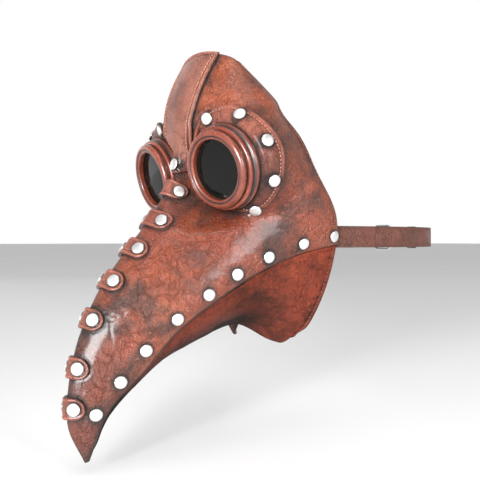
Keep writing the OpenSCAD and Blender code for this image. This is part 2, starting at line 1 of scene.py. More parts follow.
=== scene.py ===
import math
import bpy
import numpy as np
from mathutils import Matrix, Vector


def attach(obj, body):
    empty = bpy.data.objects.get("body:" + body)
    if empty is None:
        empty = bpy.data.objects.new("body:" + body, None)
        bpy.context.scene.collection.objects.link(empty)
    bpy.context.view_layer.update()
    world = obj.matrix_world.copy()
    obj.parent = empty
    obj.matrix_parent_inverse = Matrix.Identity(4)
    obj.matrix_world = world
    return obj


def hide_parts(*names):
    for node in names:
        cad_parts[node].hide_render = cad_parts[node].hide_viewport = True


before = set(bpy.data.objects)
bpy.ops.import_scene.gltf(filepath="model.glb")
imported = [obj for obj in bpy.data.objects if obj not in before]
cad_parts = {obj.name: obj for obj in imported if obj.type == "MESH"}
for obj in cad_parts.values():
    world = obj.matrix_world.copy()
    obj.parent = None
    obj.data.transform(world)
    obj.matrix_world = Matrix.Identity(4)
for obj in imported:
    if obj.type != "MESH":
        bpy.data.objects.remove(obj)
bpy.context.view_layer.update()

# Plague doctor mask. Lengths below are millimetres, as in the CAD source; meshes are scaled to metres.
MM = 0.001
FAR = 1e9
SIDES = (("left", 1.0), ("right", -1.0))

# ---------------------------------------------------------------- sizes, the same as in the CAD source
PANEL_T = 3.0
TRIM_T = 2.8
GAP = 0.5
TUCK = 21.0
KEEL_W = 12.0
EYE_HOLE_R = 33.4
CUP_R = 36.2
CUP_H = 16.0
BEZEL_R = 32.5
VIEW_R = 25.0
LENS_T = 2.4
RIVET_R = 5.4
RIVET_H = 2.0
SHANK_R = 1.5
BACK_R = 3.6
TAB_W = 17.0
TAB_REACH = 8.0
STRAP_W = 20.0
STRAP_T = 2.4
HOLE_STEP = 14.0
HOLES = 5

RIDGE = [
    (-217, -236), (-231, -205), (-230, -170), (-222, -137), (-206, -103), (-183, -72), (-158, -42),
    (-139, -14), (-130, 8), (-131, 32), (-128, 56), (-120, 80), (-106, 106)]
SEAM = [
    (3, -214, -234), (14, -202, -195), (25, -177, -166), (36, -151, -134), (49, -118, -108),
    (59, -86, -88), (67, -47, -73), (74, -4, -64)]
REAR = [
    (74, -4, -64), (79, -14, -34), (82, -40, -2), (76, -56, 31), (62, -74, 62), (38, -91, 93)]
LOW = [
    (0, -212, -232), (0, -196, -203), (0, -170, -178), (0, -142, -161), (0, -105, -148),
    (0, -66, -139), (26, -48, -152), (42, -30, -159)]
HANDLES = [(0.35, 0.04, 0.08, 0.4)] * 6 + [
    (0.38, 0.06, 0.12, 0.5), (0.4, 0.08, 0.2, 0.6), (0.4, 0.08, 0.26, 0.72), (0.42, 0.02, 0.26, 0.74),
    (0.45, 0, 0.2, 0.62), (0.48, 0, 0.14, 0.5), (0.5, 0, 0.12, 0.45)]
BULGE = [0, 2, 4, 6, 7, 8, 9, 9]
CHEEK_T = len(SEAM) - 1
TOP_T = len(RIDGE) - 1
EYE = np.array([47.5, -108.0, 2.0])
EYE_YAW = math.radians(8)
EYE_PITCH = math.radians(15)
FLAT_R = 37.0
BLEND_R = 52.0
FLANGE_R = [53, 52, 51, 45, 37.5, 37.5, 40, 48]
FLANGE_IN = 33.8
FLANGE_GAP = GAP + 0.6
FLANGE_RIVET_A = [108, 65, 22, -21, -64]
FLANGE_RIVET_R = [44, 44, 44, 44, 42]
TAB_T = [1.4, 2.3, 3.4, 4.3, 5.15, 5.95]
TAB_RIVET_X = [5.5, 6, 7.5, 9, 11, 13]
BRIDGE_T = 6.75
BRIDGE_X = 7.0
BRIDGE_LIFT = 0.5
BRIDGE_REACH = 7.0
STRIP_END_T = 7.5
STRIP_RIVET_T = 7.88
STRIP_W = [9, 10.5, 14, 19.5, 22, 23.5, 24.5, 25, 25]
END_R = 10.0
T_PACE = 24.0
SEAM_RIVET_T = [1.1, 1.87, 2.6, 3.38, 4.1, 4.84, 5.6, 6.42, 7.15]
SEAM_RIVET_D = [14, 16.5, 17, 17, 17, 17, 17, 17, 7]
STRAP_Z = -57.0
BACK_Y = 150.0
BAR_X = 10.0
BAR_R = 1.5
BAR_GAP = 0.3
FRAME_L = 20.0
ARM_Z = STRAP_W / 2 + 3
FOLD_X = 32.0
STRAP_START = [(63.4, -22), (66.2, -7), (70.4, 12), (77.5, 45)]
LAYER_Y = BACK_Y + STRAP_T / 2
TAIL_Y = BACK_Y - 8
LEFT_ROUTE = STRAP_START + [
    (83, 80), (80, 114), (72, 137), (61, LAYER_Y - 2), (50, LAYER_Y), (40, LAYER_Y), (30, LAYER_Y)]
RIGHT_ROUTE = [(-x, y) for x, y in STRAP_START] + [
    (-83, 78), (-78, 108), (-62, 132), (-38, TAIL_Y - 1), (-18, TAIL_Y), (14, TAIL_Y), (46, TAIL_Y)]
KEEPER_X = 38.0
KEEPER_W = 7.0
KEEPER_T = 1.5
KEEPER_GAP = 0.4
PRONG_R = 1.2
PRONG_W = 4.0
FIRST_HOLE_X = 34.0
HOLE_R = 2.0
STRAP_RIVET_X = 26.0


# ---------------------------------------------------------------- curves and the shell surface
def lerp(a, b, u):
    return a + (b - a) * u


def smooth(u):
    v = np.clip(u, 0, 1)
    return v * v * (3 - 2 * v)


def unit(v):
    return v / np.maximum(np.linalg.norm(v, axis=-1, keepdims=True), 1e-9)


def length(v):
    return np.linalg.norm(v, axis=-1)


def curve(points, t):
    """Catmull-Rom curve through the points, for any array of parameters."""
    p = np.asarray(points, float)
    p = p[:, None] if p.ndim == 1 else p
    last = len(p) - 1
    t = np.clip(np.asarray(t, float), 0, last)
    i = np.minimum(np.floor(t).astype(int), last - 1)
    u = (t - i)[..., None]
    q = np.vstack([2 * p[0] - p[1], p, 2 * p[-1] - p[-2]])
    a, b, c, d = q[i], q[i + 1], q[i + 2], q[i + 3]
    return 0.5 * (2 * b + (c - a) * u + (2 * a - 5 * b + 4 * c - d) * u * u
                  + (3 * b - a - 3 * c + d) * u ** 3)


def ridge(t):
    """Point on the middle line over the nose and forehead; t counts the points of RIDGE."""
    p = curve(RIDGE, t)
    return np.concatenate([np.zeros(p.shape[:-1] + (1,)), p], -1)


def edge(t):
    """Point on the side panel's outer edge: the seam, then the rear edge up to the top."""
    t = np.asarray(t, float)
    return np.where((t <= CHEEK_T)[..., None], curve(SEAM, t), curve(REAR, t - CHEEK_T))


def section(t, s):
    """Point of the cross-section at t: s is 0 on the ridge and 1 on the edge."""
    t, s = np.broadcast_arrays(np.asarray(t, float), np.asarray(s, float))
    r, e, h = ridge(t), edge(t), curve(HANDLES, t)
    drop = e - r
    drop[..., 0] = 0
    p1 = r + drop * h[..., 1:2]
    p1[..., 0] += h[..., 0] * e[..., 0]
    p2 = e - drop * h[..., 3:4]
    p2[..., 0] += h[..., 2] * e[..., 0]
    s = s[..., None]
    k = 1 - s
    return r * k ** 3 + 3 * p1 * s * k * k + 3 * p2 * s * s * k + e * s ** 3


# The eyepiece's axis, pointing forward, and two directions across it.
EYE_N = np.array([math.sin(EYE_YAW) * math.cos(EYE_PITCH), -math.cos(EYE_YAW) * math.cos(EYE_PITCH),
                  -math.sin(EYE_PITCH)])
EYE_U = np.array([math.cos(EYE_YAW), math.sin(EYE_YAW), 0.0])
EYE_W = np.cross(EYE_N, EYE_U)


def skin(t, s):
    """Outer face of the side panel: the section, made flat round the eyepiece."""
    p = section(t, s)
    d = p - EYE
    h = d @ EYE_N
    r = np.hypot(d @ EYE_U, d @ EYE_W)
    k = (1 - smooth((r - FLAT_R) / (BLEND_R - FLAT_R))) * smooth((h + 55) / 27)
    return p - EYE_N * (h * k)[..., None]


STEP = 0.004


def skin_n(t, s):
    """Outward direction of the side panel's face."""
    t, s = np.broadcast_arrays(np.asarray(t, float), np.asarray(s, float))
    ds = skin(t, np.minimum(s + STEP, 1)) - skin(t, np.maximum(s - STEP, 0))
    dt = skin(np.minimum(t + STEP, TOP_T), s) - skin(np.maximum(t - STEP, 0), s)
    n = np.cross(ds, dt)
    n[..., 0] = np.where(s <= 0, 0, n[..., 0])
    return unit(n)


def over(t, s, off):
    """Point at height off over the side panel's face."""
    return skin(t, s) + skin_n(t, s) * np.asarray(off, float)[..., None]


def shell_t(t):
    """Thickness of the panels, less where the beak is narrow."""
    return np.minimum(PANEL_T, 0.28 * edge(t)[..., 0])


def s_at(t, x, steps=9):
    """The s at which the section is x from the middle plane."""
    t, x = np.broadcast_arrays(np.asarray(t, float), np.asarray(x, float))
    s = np.full(t.shape, 0.2)
    for _ in range(steps):
        f = section(t, s)[..., 0]
        g = (section(t, s + 0.01)[..., 0] - f) / 0.01
        s = np.clip(s - (f - x) / g, 0, 1)
    return s


def s_near(t, d):
    """The s that is d short of the edge; near the tip the steps are squeezed to stay in order."""
    raw = 1 - d * 0.2 / length(skin(t, np.ones_like(t)) - skin(t, np.full_like(t, 0.8)))
    return np.maximum(raw, 0.55)


def chart(t, s):
    """Flat coordinates round the eyepiece, stretched where the face turns back to the temple."""
    d = skin(t, s) - EYE
    uw = np.stack([d @ EYE_U, d @ EYE_W], -1)
    h = d @ EYE_N
    r = np.maximum(length(uw), 0.001)
    return uw * (1 + 0.6 * np.maximum(0, -h) / r)[..., None]


def locate(a, steps=12):
    """The (t, s) of chart points, by Newton steps, first for points nearer the centre."""
    t = np.full(a.shape[:-1], 8.6)
    s = np.full(a.shape[:-1], 0.45)
    for aim in (0.6, 1.0):
        for _ in range(steps):
            c = chart(t, s)
            ct = (chart(t + 0.01, s) - c) * 100
            cs = (chart(t, s + 0.01) - c) * 100
            e = a * aim - c
            det = ct[..., 0] * cs[..., 1] - ct[..., 1] * cs[..., 0]
            dt = (e[..., 0] * cs[..., 1] - e[..., 1] * cs[..., 0]) / det
            ds = (ct[..., 0] * e[..., 1] - ct[..., 1] * e[..., 0]) / det
            t = t + np.clip(dt, -0.4, 0.4)
            s = np.clip(s + np.clip(ds, -0.1, 0.1), 0, 1)
    return t, s


def flange_r(a):
    """Radius of the eye flange's outline at an angle in degrees."""
    loop = [FLANGE_R[7]] + FLANGE_R + [FLANGE_R[0], FLANGE_R[1]]
    return curve(loop, 1 + np.asarray(a) / 45)[..., 0]


def jaw(t, v):
    """Outer face of the jaw panel: v is 0 at the seam and 1 at the lower edge."""
    t, v = np.broadcast_arrays(np.asarray(t, float), np.asarray(v, float))
    e = over(t, np.ones_like(t), -shell_t(t) - GAP)
    low = curve(LOW, t)
    out = unit(np.stack([e[..., 2] - low[..., 2], np.zeros_like(t), low[..., 0] - e[..., 0]], -1))
    b = curve(BULGE, t)[..., 0]
    return lerp(e, low, v[..., None]) + out * (b * 4 * v * (1 - v))[..., None]


def jaw_n(t, v, step=0.02):
    """Outward direction of the jaw panel's face."""
    dv = jaw(t, np.minimum(v + step, 1)) - jaw(t, np.maximum(v - step, 0))
    dt = jaw(np.minimum(t + step, CHEEK_T), v) - jaw(np.maximum(t - step, 0), v)
    return unit(np.cross(dv, dt))


# ---------------------------------------------------------------- deterministic noise for the geometry
LOW_BITS = 0xffffffff


def noise(p, size, seed):
    """Value noise from -1 to 1 with features of that size in millimetres."""
    q = p / size + seed * 7.31
    i = np.floor(q).astype(np.int64)
    f = q - i
    f = f * f * (3 - 2 * f)
    total = 0
    for corner in np.ndindex(2, 2, 2):
        k = (i + corner) * (73856093, 19349663, 83492791)
        h = k[..., 0] ^ k[..., 1] ^ k[..., 2]
        h = ((h & LOW_BITS) ^ seed * 2654435) & LOW_BITS
        h = (h ^ (h >> 13)) * 1274126177 & LOW_BITS
        h = h ^ (h >> 16)
        g = np.where(corner, f, 1 - f)
        total = total + g[..., 0] * g[..., 1] * g[..., 2] * ((h & 0xffff) / 32767.5 - 1)
    return total


def crease(p, size, seed, width=0.1):
    """Thin winding lines where a noise passes zero, from 0 to 1."""
    warp = np.stack([noise(p, size * 0.6, seed + k) for k in (1, 2, 3)], -1)
    n = noise(p + warp * size * 0.35, size, seed)
    return np.maximum(0, 1 - np.abs(n) / width) ** 2


def leather_relief(p, seed):
    """Height of the leather's undulation and creases, in millimetres, and the creases alone."""
    lines = 0.7 * crease(p, 21, seed, 0.09) * (0.4 + 0.6 * smooth(noise(p, 45, seed + 9) + 0.4))
    lines = lines + 0.6 * crease(p, 9, seed + 20, 0.12) * smooth(noise(p, 30, seed + 29) * 1.6)
    waves = 0.5 * noise(p, 34, seed + 40) + 0.22 * noise(p, 13, seed + 41) + 0.1 * noise(p, 5, seed + 42)
    return waves - 0.34 * lines, lines


def bell(d, middle, width):
    """1 at the middle, falling off on both sides over about the width."""
    return np.exp(-((d - middle) / width) ** 2)


def fade(d, reach):
    """1 where d is 0 or less, falling to about a third at reach."""
    return np.exp(-np.maximum(d, 0) / reach)


# ---------------------------------------------------------------- meshes
def weld(verts, faces, tags):
    """Joins coincident vertices, drops unused ones and collapsed faces."""
    _, first, back = np.unique(np.round(verts, 4), axis=0, return_index=True, return_inverse=True)
    faces = back.reshape(-1)[faces]
    same = [faces[:, k] == faces[:, (k + 1) % 4] for k in range(4)]
    count = sum(m.astype(int) for m in same)
    quads = faces[count == 0]
    tris = []
    for k in range(4):
        pick = (count == 1) & same[k]
        tris.append((faces[pick][:, [(k + 1) % 4, (k + 2) % 4, (k + 3) % 4]], tags[pick]))
    used = np.unique(np.concatenate([quads.reshape(-1)] + [t.reshape(-1) for t, _ in tris]))
    remap = np.zeros(len(first), int)
    remap[used] = np.arange(len(used))
    kept = first[used]
    polys = remap[quads].tolist()
    kinds = tags[count == 0].tolist()
    for t, g in tris:
        polys += remap[t].tolist()
        kinds += g.tolist()
    return kept, polys, kinds


def signed_volume(verts, polys):
    """The enclosed volume, negative where the faces point inward."""
    tris = np.array([(f[0], f[k], f[k + 1]) for f in polys for k in range(1, len(f) - 1)])
    a, b, c = verts[tris[:, 0]], verts[tris[:, 1]], verts[tris[:, 2]]
    return np.einsum("ij,ij->i", a, np.cross(b, c)).sum() / 6


class Solid:
    """Vertices, faces, a material number for each face and named values for each vertex."""

    def __init__(self, verts, faces, tags, values):
        kept, self.polys, self.kinds = weld(verts, faces, tags)
        self.verts = verts[kept]
        self.values = {k: v[kept] for k, v in values.items()}
        if signed_volume(self.verts, self.polys) < 0:
            self.polys = [f[::-1] for f in self.polys]

    def mirrored(self):
        """The same solid on the other side of the middle plane."""
        other = Solid.__new__(Solid)
        other.verts = self.verts * [-1, 1, 1]
        other.polys = [f[::-1] for f in self.polys]
        other.kinds, other.values = self.kinds, self.values
        return other


def joined(solids):
    """One solid from several that stay apart."""
    out = Solid.__new__(Solid)
    out.verts = np.concatenate([s.verts for s in solids])
    out.polys, out.kinds = [], []
    base = 0
    for s in solids:
        out.polys += [[i + base for i in f] for f in s.polys]
        out.kinds += list(s.kinds)
        base += len(s.verts)
    names = set().union(*[s.values.keys() for s in solids])
    out.values = {k: np.concatenate([s.values.get(k, np.zeros(len(s.verts))) for s in solids]) for k in names}
    return out


def wrapped(idx, axis):
    """A grid of vertex numbers with its first row or column again at its end."""
    return np.concatenate([idx, np.take(idx, [0], axis)], axis)


def quads_of(idx):
    """Faces between neighbours in a grid of vertex numbers."""
    return np.stack([idx[:-1, :-1], idx[:-1, 1:], idx[1:, 1:], idx[1:, :-1]], -1).reshape(-1, 4)


def shell(outer, inner, keep=None, loop=False, values=None):
    """Closed solid between two grids; keep masks faces for a hole; loop closes each row on itself."""
    n = outer.shape[0] * outer.shape[1]
    idx = np.arange(n).reshape(outer.shape[:2])
    quads = quads_of(wrapped(idx, 1) if loop else idx)
    if keep is not None:
        quads = quads[keep.reshape(-1)]
    ends = np.concatenate([quads[:, [k, (k + 1) % 4]] for k in range(4)])
    rim = ends[~np.isin(ends[:, 0] * n + ends[:, 1], ends[:, 1] * n + ends[:, 0])]
    walls = np.stack([rim[:, 1], rim[:, 0], rim[:, 0] + n, rim[:, 1] + n], -1)
    faces = np.concatenate([quads, quads[:, ::-1] + n, walls])
    tags = np.repeat([0, 1, 0], [len(quads), len(quads), len(walls)])
    verts = np.concatenate([outer.reshape(-1, 3), inner.reshape(-1, 3)])
    return Solid(verts, faces, tags, {k: np.tile(v.reshape(-1), 2) for k, v in (values or {}).items()})


def torus_grid(grid, values=None):
    """Closed solid from a grid that closes on itself both ways."""
    idx = np.arange(grid.shape[0] * grid.shape[1]).reshape(grid.shape[:2])
    quads = quads_of(wrapped(wrapped(idx, 0), 1))
    flat = {k: v.reshape(-1) for k, v in (values or {}).items()}
    return Solid(grid.reshape(-1, 3), quads, np.zeros(len(quads), int), flat)


def capped_tube(grid, values=None):
    """Closed solid from rings of points, with a face across each end."""
    count = grid.shape[0] * grid.shape[1]
    idx = wrapped(np.arange(count).reshape(grid.shape[:2]), 1)
    verts = np.concatenate([grid.reshape(-1, 3), grid[0].mean(0)[None], grid[-1].mean(0)[None]])
    hubs = [np.full(grid.shape[1], count + k) for k in (0, 1)]
    first = np.stack([idx[0, 1:], idx[0, :-1], hubs[0], hubs[0]], -1)
    last = np.stack([idx[-1, :-1], idx[-1, 1:], hubs[1], hubs[1]], -1)
    faces = np.concatenate([quads_of(idx), first, last])
    flat = {k: np.concatenate([v.reshape(-1), [v[0].mean(), v[-1].mean()]])
            for k, v in (values or {}).items()}
    return Solid(verts, faces, np.zeros(len(faces), int), flat)


def fillet(d, r):
    """How far a rounded edge of radius r has dropped at distance d from the border."""
    d = np.clip(d, 0, r)
    return r - np.sqrt(np.maximum(r * r - (r - d) ** 2, 0))


def border(p):
    """Distance of each grid point from the grid's borders, measured along the grid."""
    best = np.full(p.shape[:2], FAR)
    for axis in (0, 1):
        step = length(np.diff(p, axis=axis))
        run = np.concatenate([np.zeros_like(np.take(step, [0], axis)), np.cumsum(step, axis)], axis)
        best = np.minimum(best, np.minimum(run, np.take(run, [-1], axis) - run))
    return best


def clustered(n, power=0.5):
    """n values from -1 to 1, closer together toward both ends."""
    u = np.linspace(-1, 1, n)
    return lerp(u, np.sin(u * math.pi / 2), power)


def add_piece(name, solid, materials, nodes=(), body="root", sign=1.0):
    """Makes the solid a piece on its body; a negative sign puts its mirror image on the right side."""
    if sign < 0:
        solid = solid.mirrored()
    mesh = bpy.data.meshes.new(name)
    mesh.from_pydata((solid.verts * MM).tolist(), [], solid.polys)
    for m in materials:
        mesh.materials.append(m)
    top = len(materials) - 1
    mesh.polygons.foreach_set("material_index", [min(k, top) for k in solid.kinds])
    mesh.polygons.foreach_set("use_smooth", [True] * len(mesh.polygons))
    # Per-vertex values for the shaders: grime together with painted shade, and wear together with painted
    # highlights.
    for key in ("dirt_and_shade", "wear_and_highlight"):
        values = solid.values.get(key, np.zeros(len(solid.verts)))
        layer = mesh.attributes.new(key, "FLOAT", "POINT")
        layer.data.foreach_set("value", np.clip(values, 0, 1).astype(np.float32))
    mesh.update()
    piece = bpy.data.objects.new(name, mesh)
    bpy.context.scene.collection.objects.link(piece)
    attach(piece, body)
    if nodes:
        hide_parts(*nodes)
    return piece


# ---------------------------------------------------------------- materials
class Shader:
    """Small helper that adds and joins the nodes of one material."""

    def __init__(self, name):
        self.material = bpy.data.materials.new(name)
        self.material.use_nodes = True
        self.tree = self.material.node_tree
        self.tree.nodes.clear()
        self.bsdf = self.tree.nodes.new("ShaderNodeBsdfPrincipled")
        self.add("OutputMaterial", {0: self.bsdf.outputs[0]}, None)
        self.coords = self.add("TexCoord", {}, "Object")

    def add(self, kind, inputs, output=0, **settings):
        """Adds a node, with its settings and inputs, and returns one of its outputs."""
        node = self.tree.nodes.new("ShaderNode" + kind)
        for key, value in settings.items():
            setattr(node, key, value)
        for key, value in inputs.items():
            self.put(node.inputs[key], value)
        return None if output is None else node.outputs[output]

    def put(self, socket, value):
        if isinstance(value, bpy.types.NodeSocket):
            self.tree.links.new(value, socket)
        else:
            socket.default_value = value

    def mapped(self, scale, turn=(0, 0, 0), vector=None):
        return self.add("Mapping", {"Scale": scale, "Rotation": turn, "Vector": vector or self.coords})

    def noise(self, scale, detail=3.0, rough=0.55, twist=0.0, vector=None):
        return self.add("TexNoise", {"Vector": vector or self.coords, "Scale": scale, "Detail": detail,
                                     "Roughness": rough, "Distortion": twist}, "Fac")

    def cells(self, scale, vector):
        return self.add("TexVoronoi", {"Vector": vector, "Scale": scale}, "Distance",
                        feature="DISTANCE_TO_EDGE")

    def warped(self, scale, amount):
        push = self.add("TexNoise", {"Vector": self.coords, "Scale": scale, "Detail": 2}, "Color")
        return self.add("VectorMath", {0: push, 1: (amount,) * 3, 2: self.coords}, operation="MULTIPLY_ADD")

    def value(self, name):
        return self.add("Attribute", {}, "Fac", attribute_name=name)

    def span(self, value, low, high, to_low=0.0, to_high=1.0):
        return self.add("MapRange", {"Value": value, "From Min": low, "From Max": high, "To Min": to_low,
                                     "To Max": to_high}, "Result", clamp=True)

    def math(self, how, a, b=0.0):
        return self.add("Math", {0: a, 1: b}, operation=how)

    def times(self, a, b):
        return self.math("MULTIPLY", a, b)

    def plus(self, first, *rest):
        for value in rest:
            first = self.math("ADD", first, value)
        return first

    def mix(self, amount, a, b):
        return self.add("Mix", {0: amount, 6: a, 7: b}, 2, data_type="RGBA")

    def bump(self, height, depth, strength=1.0):
        normal = self.add("Bump", {"Strength": strength, "Distance": depth, "Height": height})
        self.put(self.bsdf.inputs["Normal"], normal)

    def set(self, **sockets):
        for key, value in sockets.items():
            self.put(self.bsdf.inputs[key.replace("_", " ")], value)
        return self.material


def rgb(r, g, b):
    """Linear colour from the usual 0 to 255 values."""
    def lin(v):
        v = v / 255
        return v / 12.92 if v <= 0.04045 else ((v + 0.055) / 1.055) ** 2.4
    return (lin(r), lin(g), lin(b), 1.0)


# Near-black brown used for grime and also for painted shade.
SHADE_AND_STAIN = rgb(30, 15, 11)


def leather(name, base, dark, light, gloss, grain=0.8, coat=0.3, clouds=0.4, shine=0.5, drawn=0.0):
    """Antiqued leather: clouded colour, stained creases and grooves, pebbled grain; darkened toward
    near-black by grime together with painted shade, and lightened on worn high spots together with painted
    highlights.

    clouds is the strength of the dark patches, drawn the depth of the long wrinkles down the beak.
    """
    m = Shader(name)
    base, dark, light = rgb(*base), rgb(*dark), rgb(*light)
    broad = m.noise(13, 3, 0.55, 0.3)
    patch = m.noise(26, 7, 0.66, 0.35)
    speck = m.noise(420, 3, 0.6)
    folds = m.math("ABSOLUTE", m.math("SUBTRACT", m.noise(70, 5, 0.62, 0.5), 0.5))
    pebble = m.cells(760, m.warped(400, 0.0012))
    color = m.mix(m.span(broad, 0.38, 0.66), base, light)
    color = m.mix(m.times(m.span(patch, 0.48, 0.62), clouds), color, dark)
    color = m.mix(m.span(speck, 0.45, 0.8, 0, 0.3), color, dark)
    color = m.mix(m.span(folds, 0.0, 0.02, 0.45, 0), color, dark)
    # Lighter where worn; on raised beads, rims and the jaw's welt this is also a painted highlight.
    color = m.mix(m.times(m.value("wear_and_highlight"), m.span(speck, 0.3, 0.6, 0.4, 1)), color, light)
    # Near-black where grime lies and where shade is painted: in seam gaps, under the beak and round the parts
    # laid on top.
    soil_and_shade = m.math("MINIMUM", m.times(m.value("dirt_and_shade"), m.span(patch, 0.3, 0.65, 0.75, 1.15)), 0.97)
    color = m.mix(soil_and_shade, color, SHADE_AND_STAIN)
    height = m.plus(m.times(m.span(pebble, 0, 0.25), 0.35 * grain),
                    m.times(m.noise(1500, 3, 0.6), 0.25 * grain),
                    m.times(m.span(folds, 0, 0.035), 0.8 * grain),
                    m.times(m.noise(190, 5, 0.68, 0.6), 1.9 * grain))
    if drawn:
        along = m.mapped((1, 0.28, 1), vector=m.mapped((1, 1, 1), (math.radians(-52), 0, 0)))
        height = m.plus(height, m.times(m.noise(230, 4, 0.65, 0.7, along), drawn))
    m.bump(height, 0.0008, 0.9)
    rough = m.plus(m.span(patch, 0.35, 0.7, *gloss), m.times(m.span(speck, 0.4, 0.7), 0.08),
                   m.times(soil_and_shade, 0.3))
    return m.set(Base_Color=color, Roughness=rough, Specular_IOR_Level=shine, Coat_Weight=coat,
                 Coat_Roughness=0.2, Coat_IOR=1.5)


def suede(name, base, dark):
    """Flesh side of the leather: matt, fibrous and mottled."""
    m = Shader(name)
    nap = m.noise(900, 4, 0.7)
    broad = m.noise(30, 4, 0.6, 0.5)
    color = m.mix(m.span(broad, 0.35, 0.7), base, dark)
    color = m.mix(m.span(nap, 0.3, 0.75, 0, 0.5), color, dark)
    m.bump(m.plus(nap, m.times(broad, 0.8)), 0.0005, 0.6)
    return m.set(Base_Color=color, Roughness=m.span(nap, 0.3, 0.7, 0.75, 0.95), Sheen_Weight=0.3,
                 Sheen_Roughness=0.6)


def thread(name, base, dark):
    """Waxed thread: two plies, darker where it dips into the leather."""
    m = Shader(name)
    twist = m.noise(2600, 2, 0.5, 0, m.mapped((1, 1, 3.0), (0.5, 0.4, 0)))
    color = m.mix(m.span(twist, 0.35, 0.65), base, dark)
    m.bump(twist, 0.0002, 0.7)
    return m.set(Base_Color=color, Roughness=m.span(twist, 0.3, 0.7, 0.45, 0.7))


def painted(name, base, dark, light):
    """Moulded plastic painted like the leather: brushed colour, soft scuffs, glossy lacquer."""
    m = Shader(name)
    broad = m.noise(38, 3, 0.55, 0.8)
    brush = m.noise(160, 4, 0.65, 1.5)
    fine = m.noise(1100, 2, 0.5)
    color = m.mix(m.span(broad, 0.36, 0.68), base, light)
    color = m.mix(m.span(brush, 0.5, 0.75, 0, 0.55), color, dark)
    soil_and_shade = m.math("MINIMUM", m.times(m.value("dirt_and_shade"), m.span(brush, 0.3, 0.6, 0.7, 1.1)), 0.95)
    color = m.mix(soil_and_shade, color, SHADE_AND_STAIN)
    m.bump(m.plus(m.times(brush, 0.8), m.times(fine, 0.25)), 0.0003, 0.5)
    rough = m.plus(m.span(brush, 0.3, 0.7, 0.2, 0.36), m.times(soil_and_shade, 0.25))
    return m.set(Base_Color=color, Roughness=rough, Coat_Weight=0.5, Coat_Roughness=0.18)


def metal(name, base, dark, gloss, depth):
    """Pale metal with fine scratches, tarnish in the corners and a slightly uneven surface."""
    m = Shader(name)
    scratch = m.noise(1400, 3, 0.6, 0, m.mapped((1, 0.12, 1), (0.3, 0.5, 0.7)))
    patch = m.noise(240, 4, 0.6, 0.6)
    color = m.mix(m.span(patch, 0.5, 0.78, 0, 0.35), base, dark)
    color = m.mix(m.math("MINIMUM", m.value("dirt_and_shade"), 0.9), color, dark)
    m.bump(m.plus(scratch, patch), depth, 0.6)
    return m.set(Base_Color=color, Metallic=1.0, Roughness=m.span(scratch, 0.3, 0.7, *gloss))


def tinted_glass(name, base, dust):
    """Dark tinted lens with a polished face, faint smears and dust toward its rim."""
    m = Shader(name)
    smear = m.noise(55, 4, 0.6, 1.4, m.mapped((1, 1, 0.4), (0.4, 0.2, 0)))
    grit = m.noise(1300, 2, 0.6)
    haze = m.times(m.value("dirt_and_shade"), m.span(grit, 0.4, 0.7, 0.2, 0.8))
    color = m.mix(haze, base, dust)
    m.bump(smear, 0.0002, 0.25)
    rough = m.plus(m.span(smear, 0.42, 0.72, 0.03, 0.12), m.times(haze, 0.3))
    return m.set(Base_Color=color, Roughness=rough, IOR=1.5, Specular_IOR_Level=0.22)


def plain_rubber(name):
    m = Shader(name)
    fine = m.noise(900, 3, 0.6)
    m.bump(fine, 0.0002, 0.5)
    color = m.mix(m.span(fine, 0.35, 0.7), rgb(30, 29, 28), rgb(46, 43, 40))
    return m.set(Base_Color=color, Roughness=m.span(fine, 0.3, 0.7, 0.6, 0.8))


def floor_paint(name):
    m = Shader(name)
    broad = m.noise(1.5, 3, 0.5)
    fine = m.noise(90, 3, 0.5)
    color = m.mix(m.span(broad, 0.3, 0.7), (0.94, 0.94, 0.94, 1), (0.97, 0.97, 0.97, 1))
    m.bump(fine, 0.0004, 0.2)
    return m.set(Base_Color=color, Roughness=m.span(fine, 0.3, 0.7, 0.6, 0.75))


SHELL = leather("shell_leather", (114, 48, 27), (46, 22, 15), (140, 68, 38), (0.16, 0.4), coat=0.35,
                clouds=0.8, shine=0.45, drawn=2.4)
JAW = leather("jaw_leather", (104, 39, 23), (46, 20, 13), (126, 54, 32), (0.4, 0.56), coat=0.0,
              clouds=0.7, shine=0.2, drawn=1.2)
STRIP = leather("strip_leather", (94, 45, 32), (54, 26, 19), (152, 94, 76), (0.26, 0.42), 0.7, shine=0.4)
TAB = leather("tab_leather", (118, 56, 40), (66, 30, 22), (150, 82, 60), (0.28, 0.44), 0.7, coat=0.35)
FLANGE = leather("flange_leather", (78, 35, 24), (42, 20, 15), (140, 76, 58), (0.26, 0.44), coat=0.15,
                 clouds=0.5, shine=0.35)
STRAP = leather("strap_leather", (84, 42, 29), (48, 24, 18), (112, 62, 44), (0.36, 0.56), coat=0.15)
LINING = suede("lining_leather", rgb(120, 82, 62), rgb(82, 54, 40))
PALE_THREAD = thread("pale_thread", rgb(196, 138, 116), rgb(120, 72, 56))
DARK_THREAD = thread("dark_thread", rgb(120, 66, 48), rgb(62, 32, 24))
EYEPIECE = painted("eyepiece_paint", rgb(98, 43, 30), rgb(54, 24, 18), rgb(122, 60, 43))
LENS = tinted_glass("tinted_lens", rgb(8, 9, 8), rgb(62, 56, 50))
RUBBER = plain_rubber("gasket_rubber")
STEEL = metal("rivet_steel", rgb(244, 244, 244), rgb(132, 124, 118), (0.34, 0.5), 0.00012)
CHROME = metal("buckle_chrome", rgb(214, 214, 216), rgb(104, 98, 92), (0.1, 0.25), 0.00006)


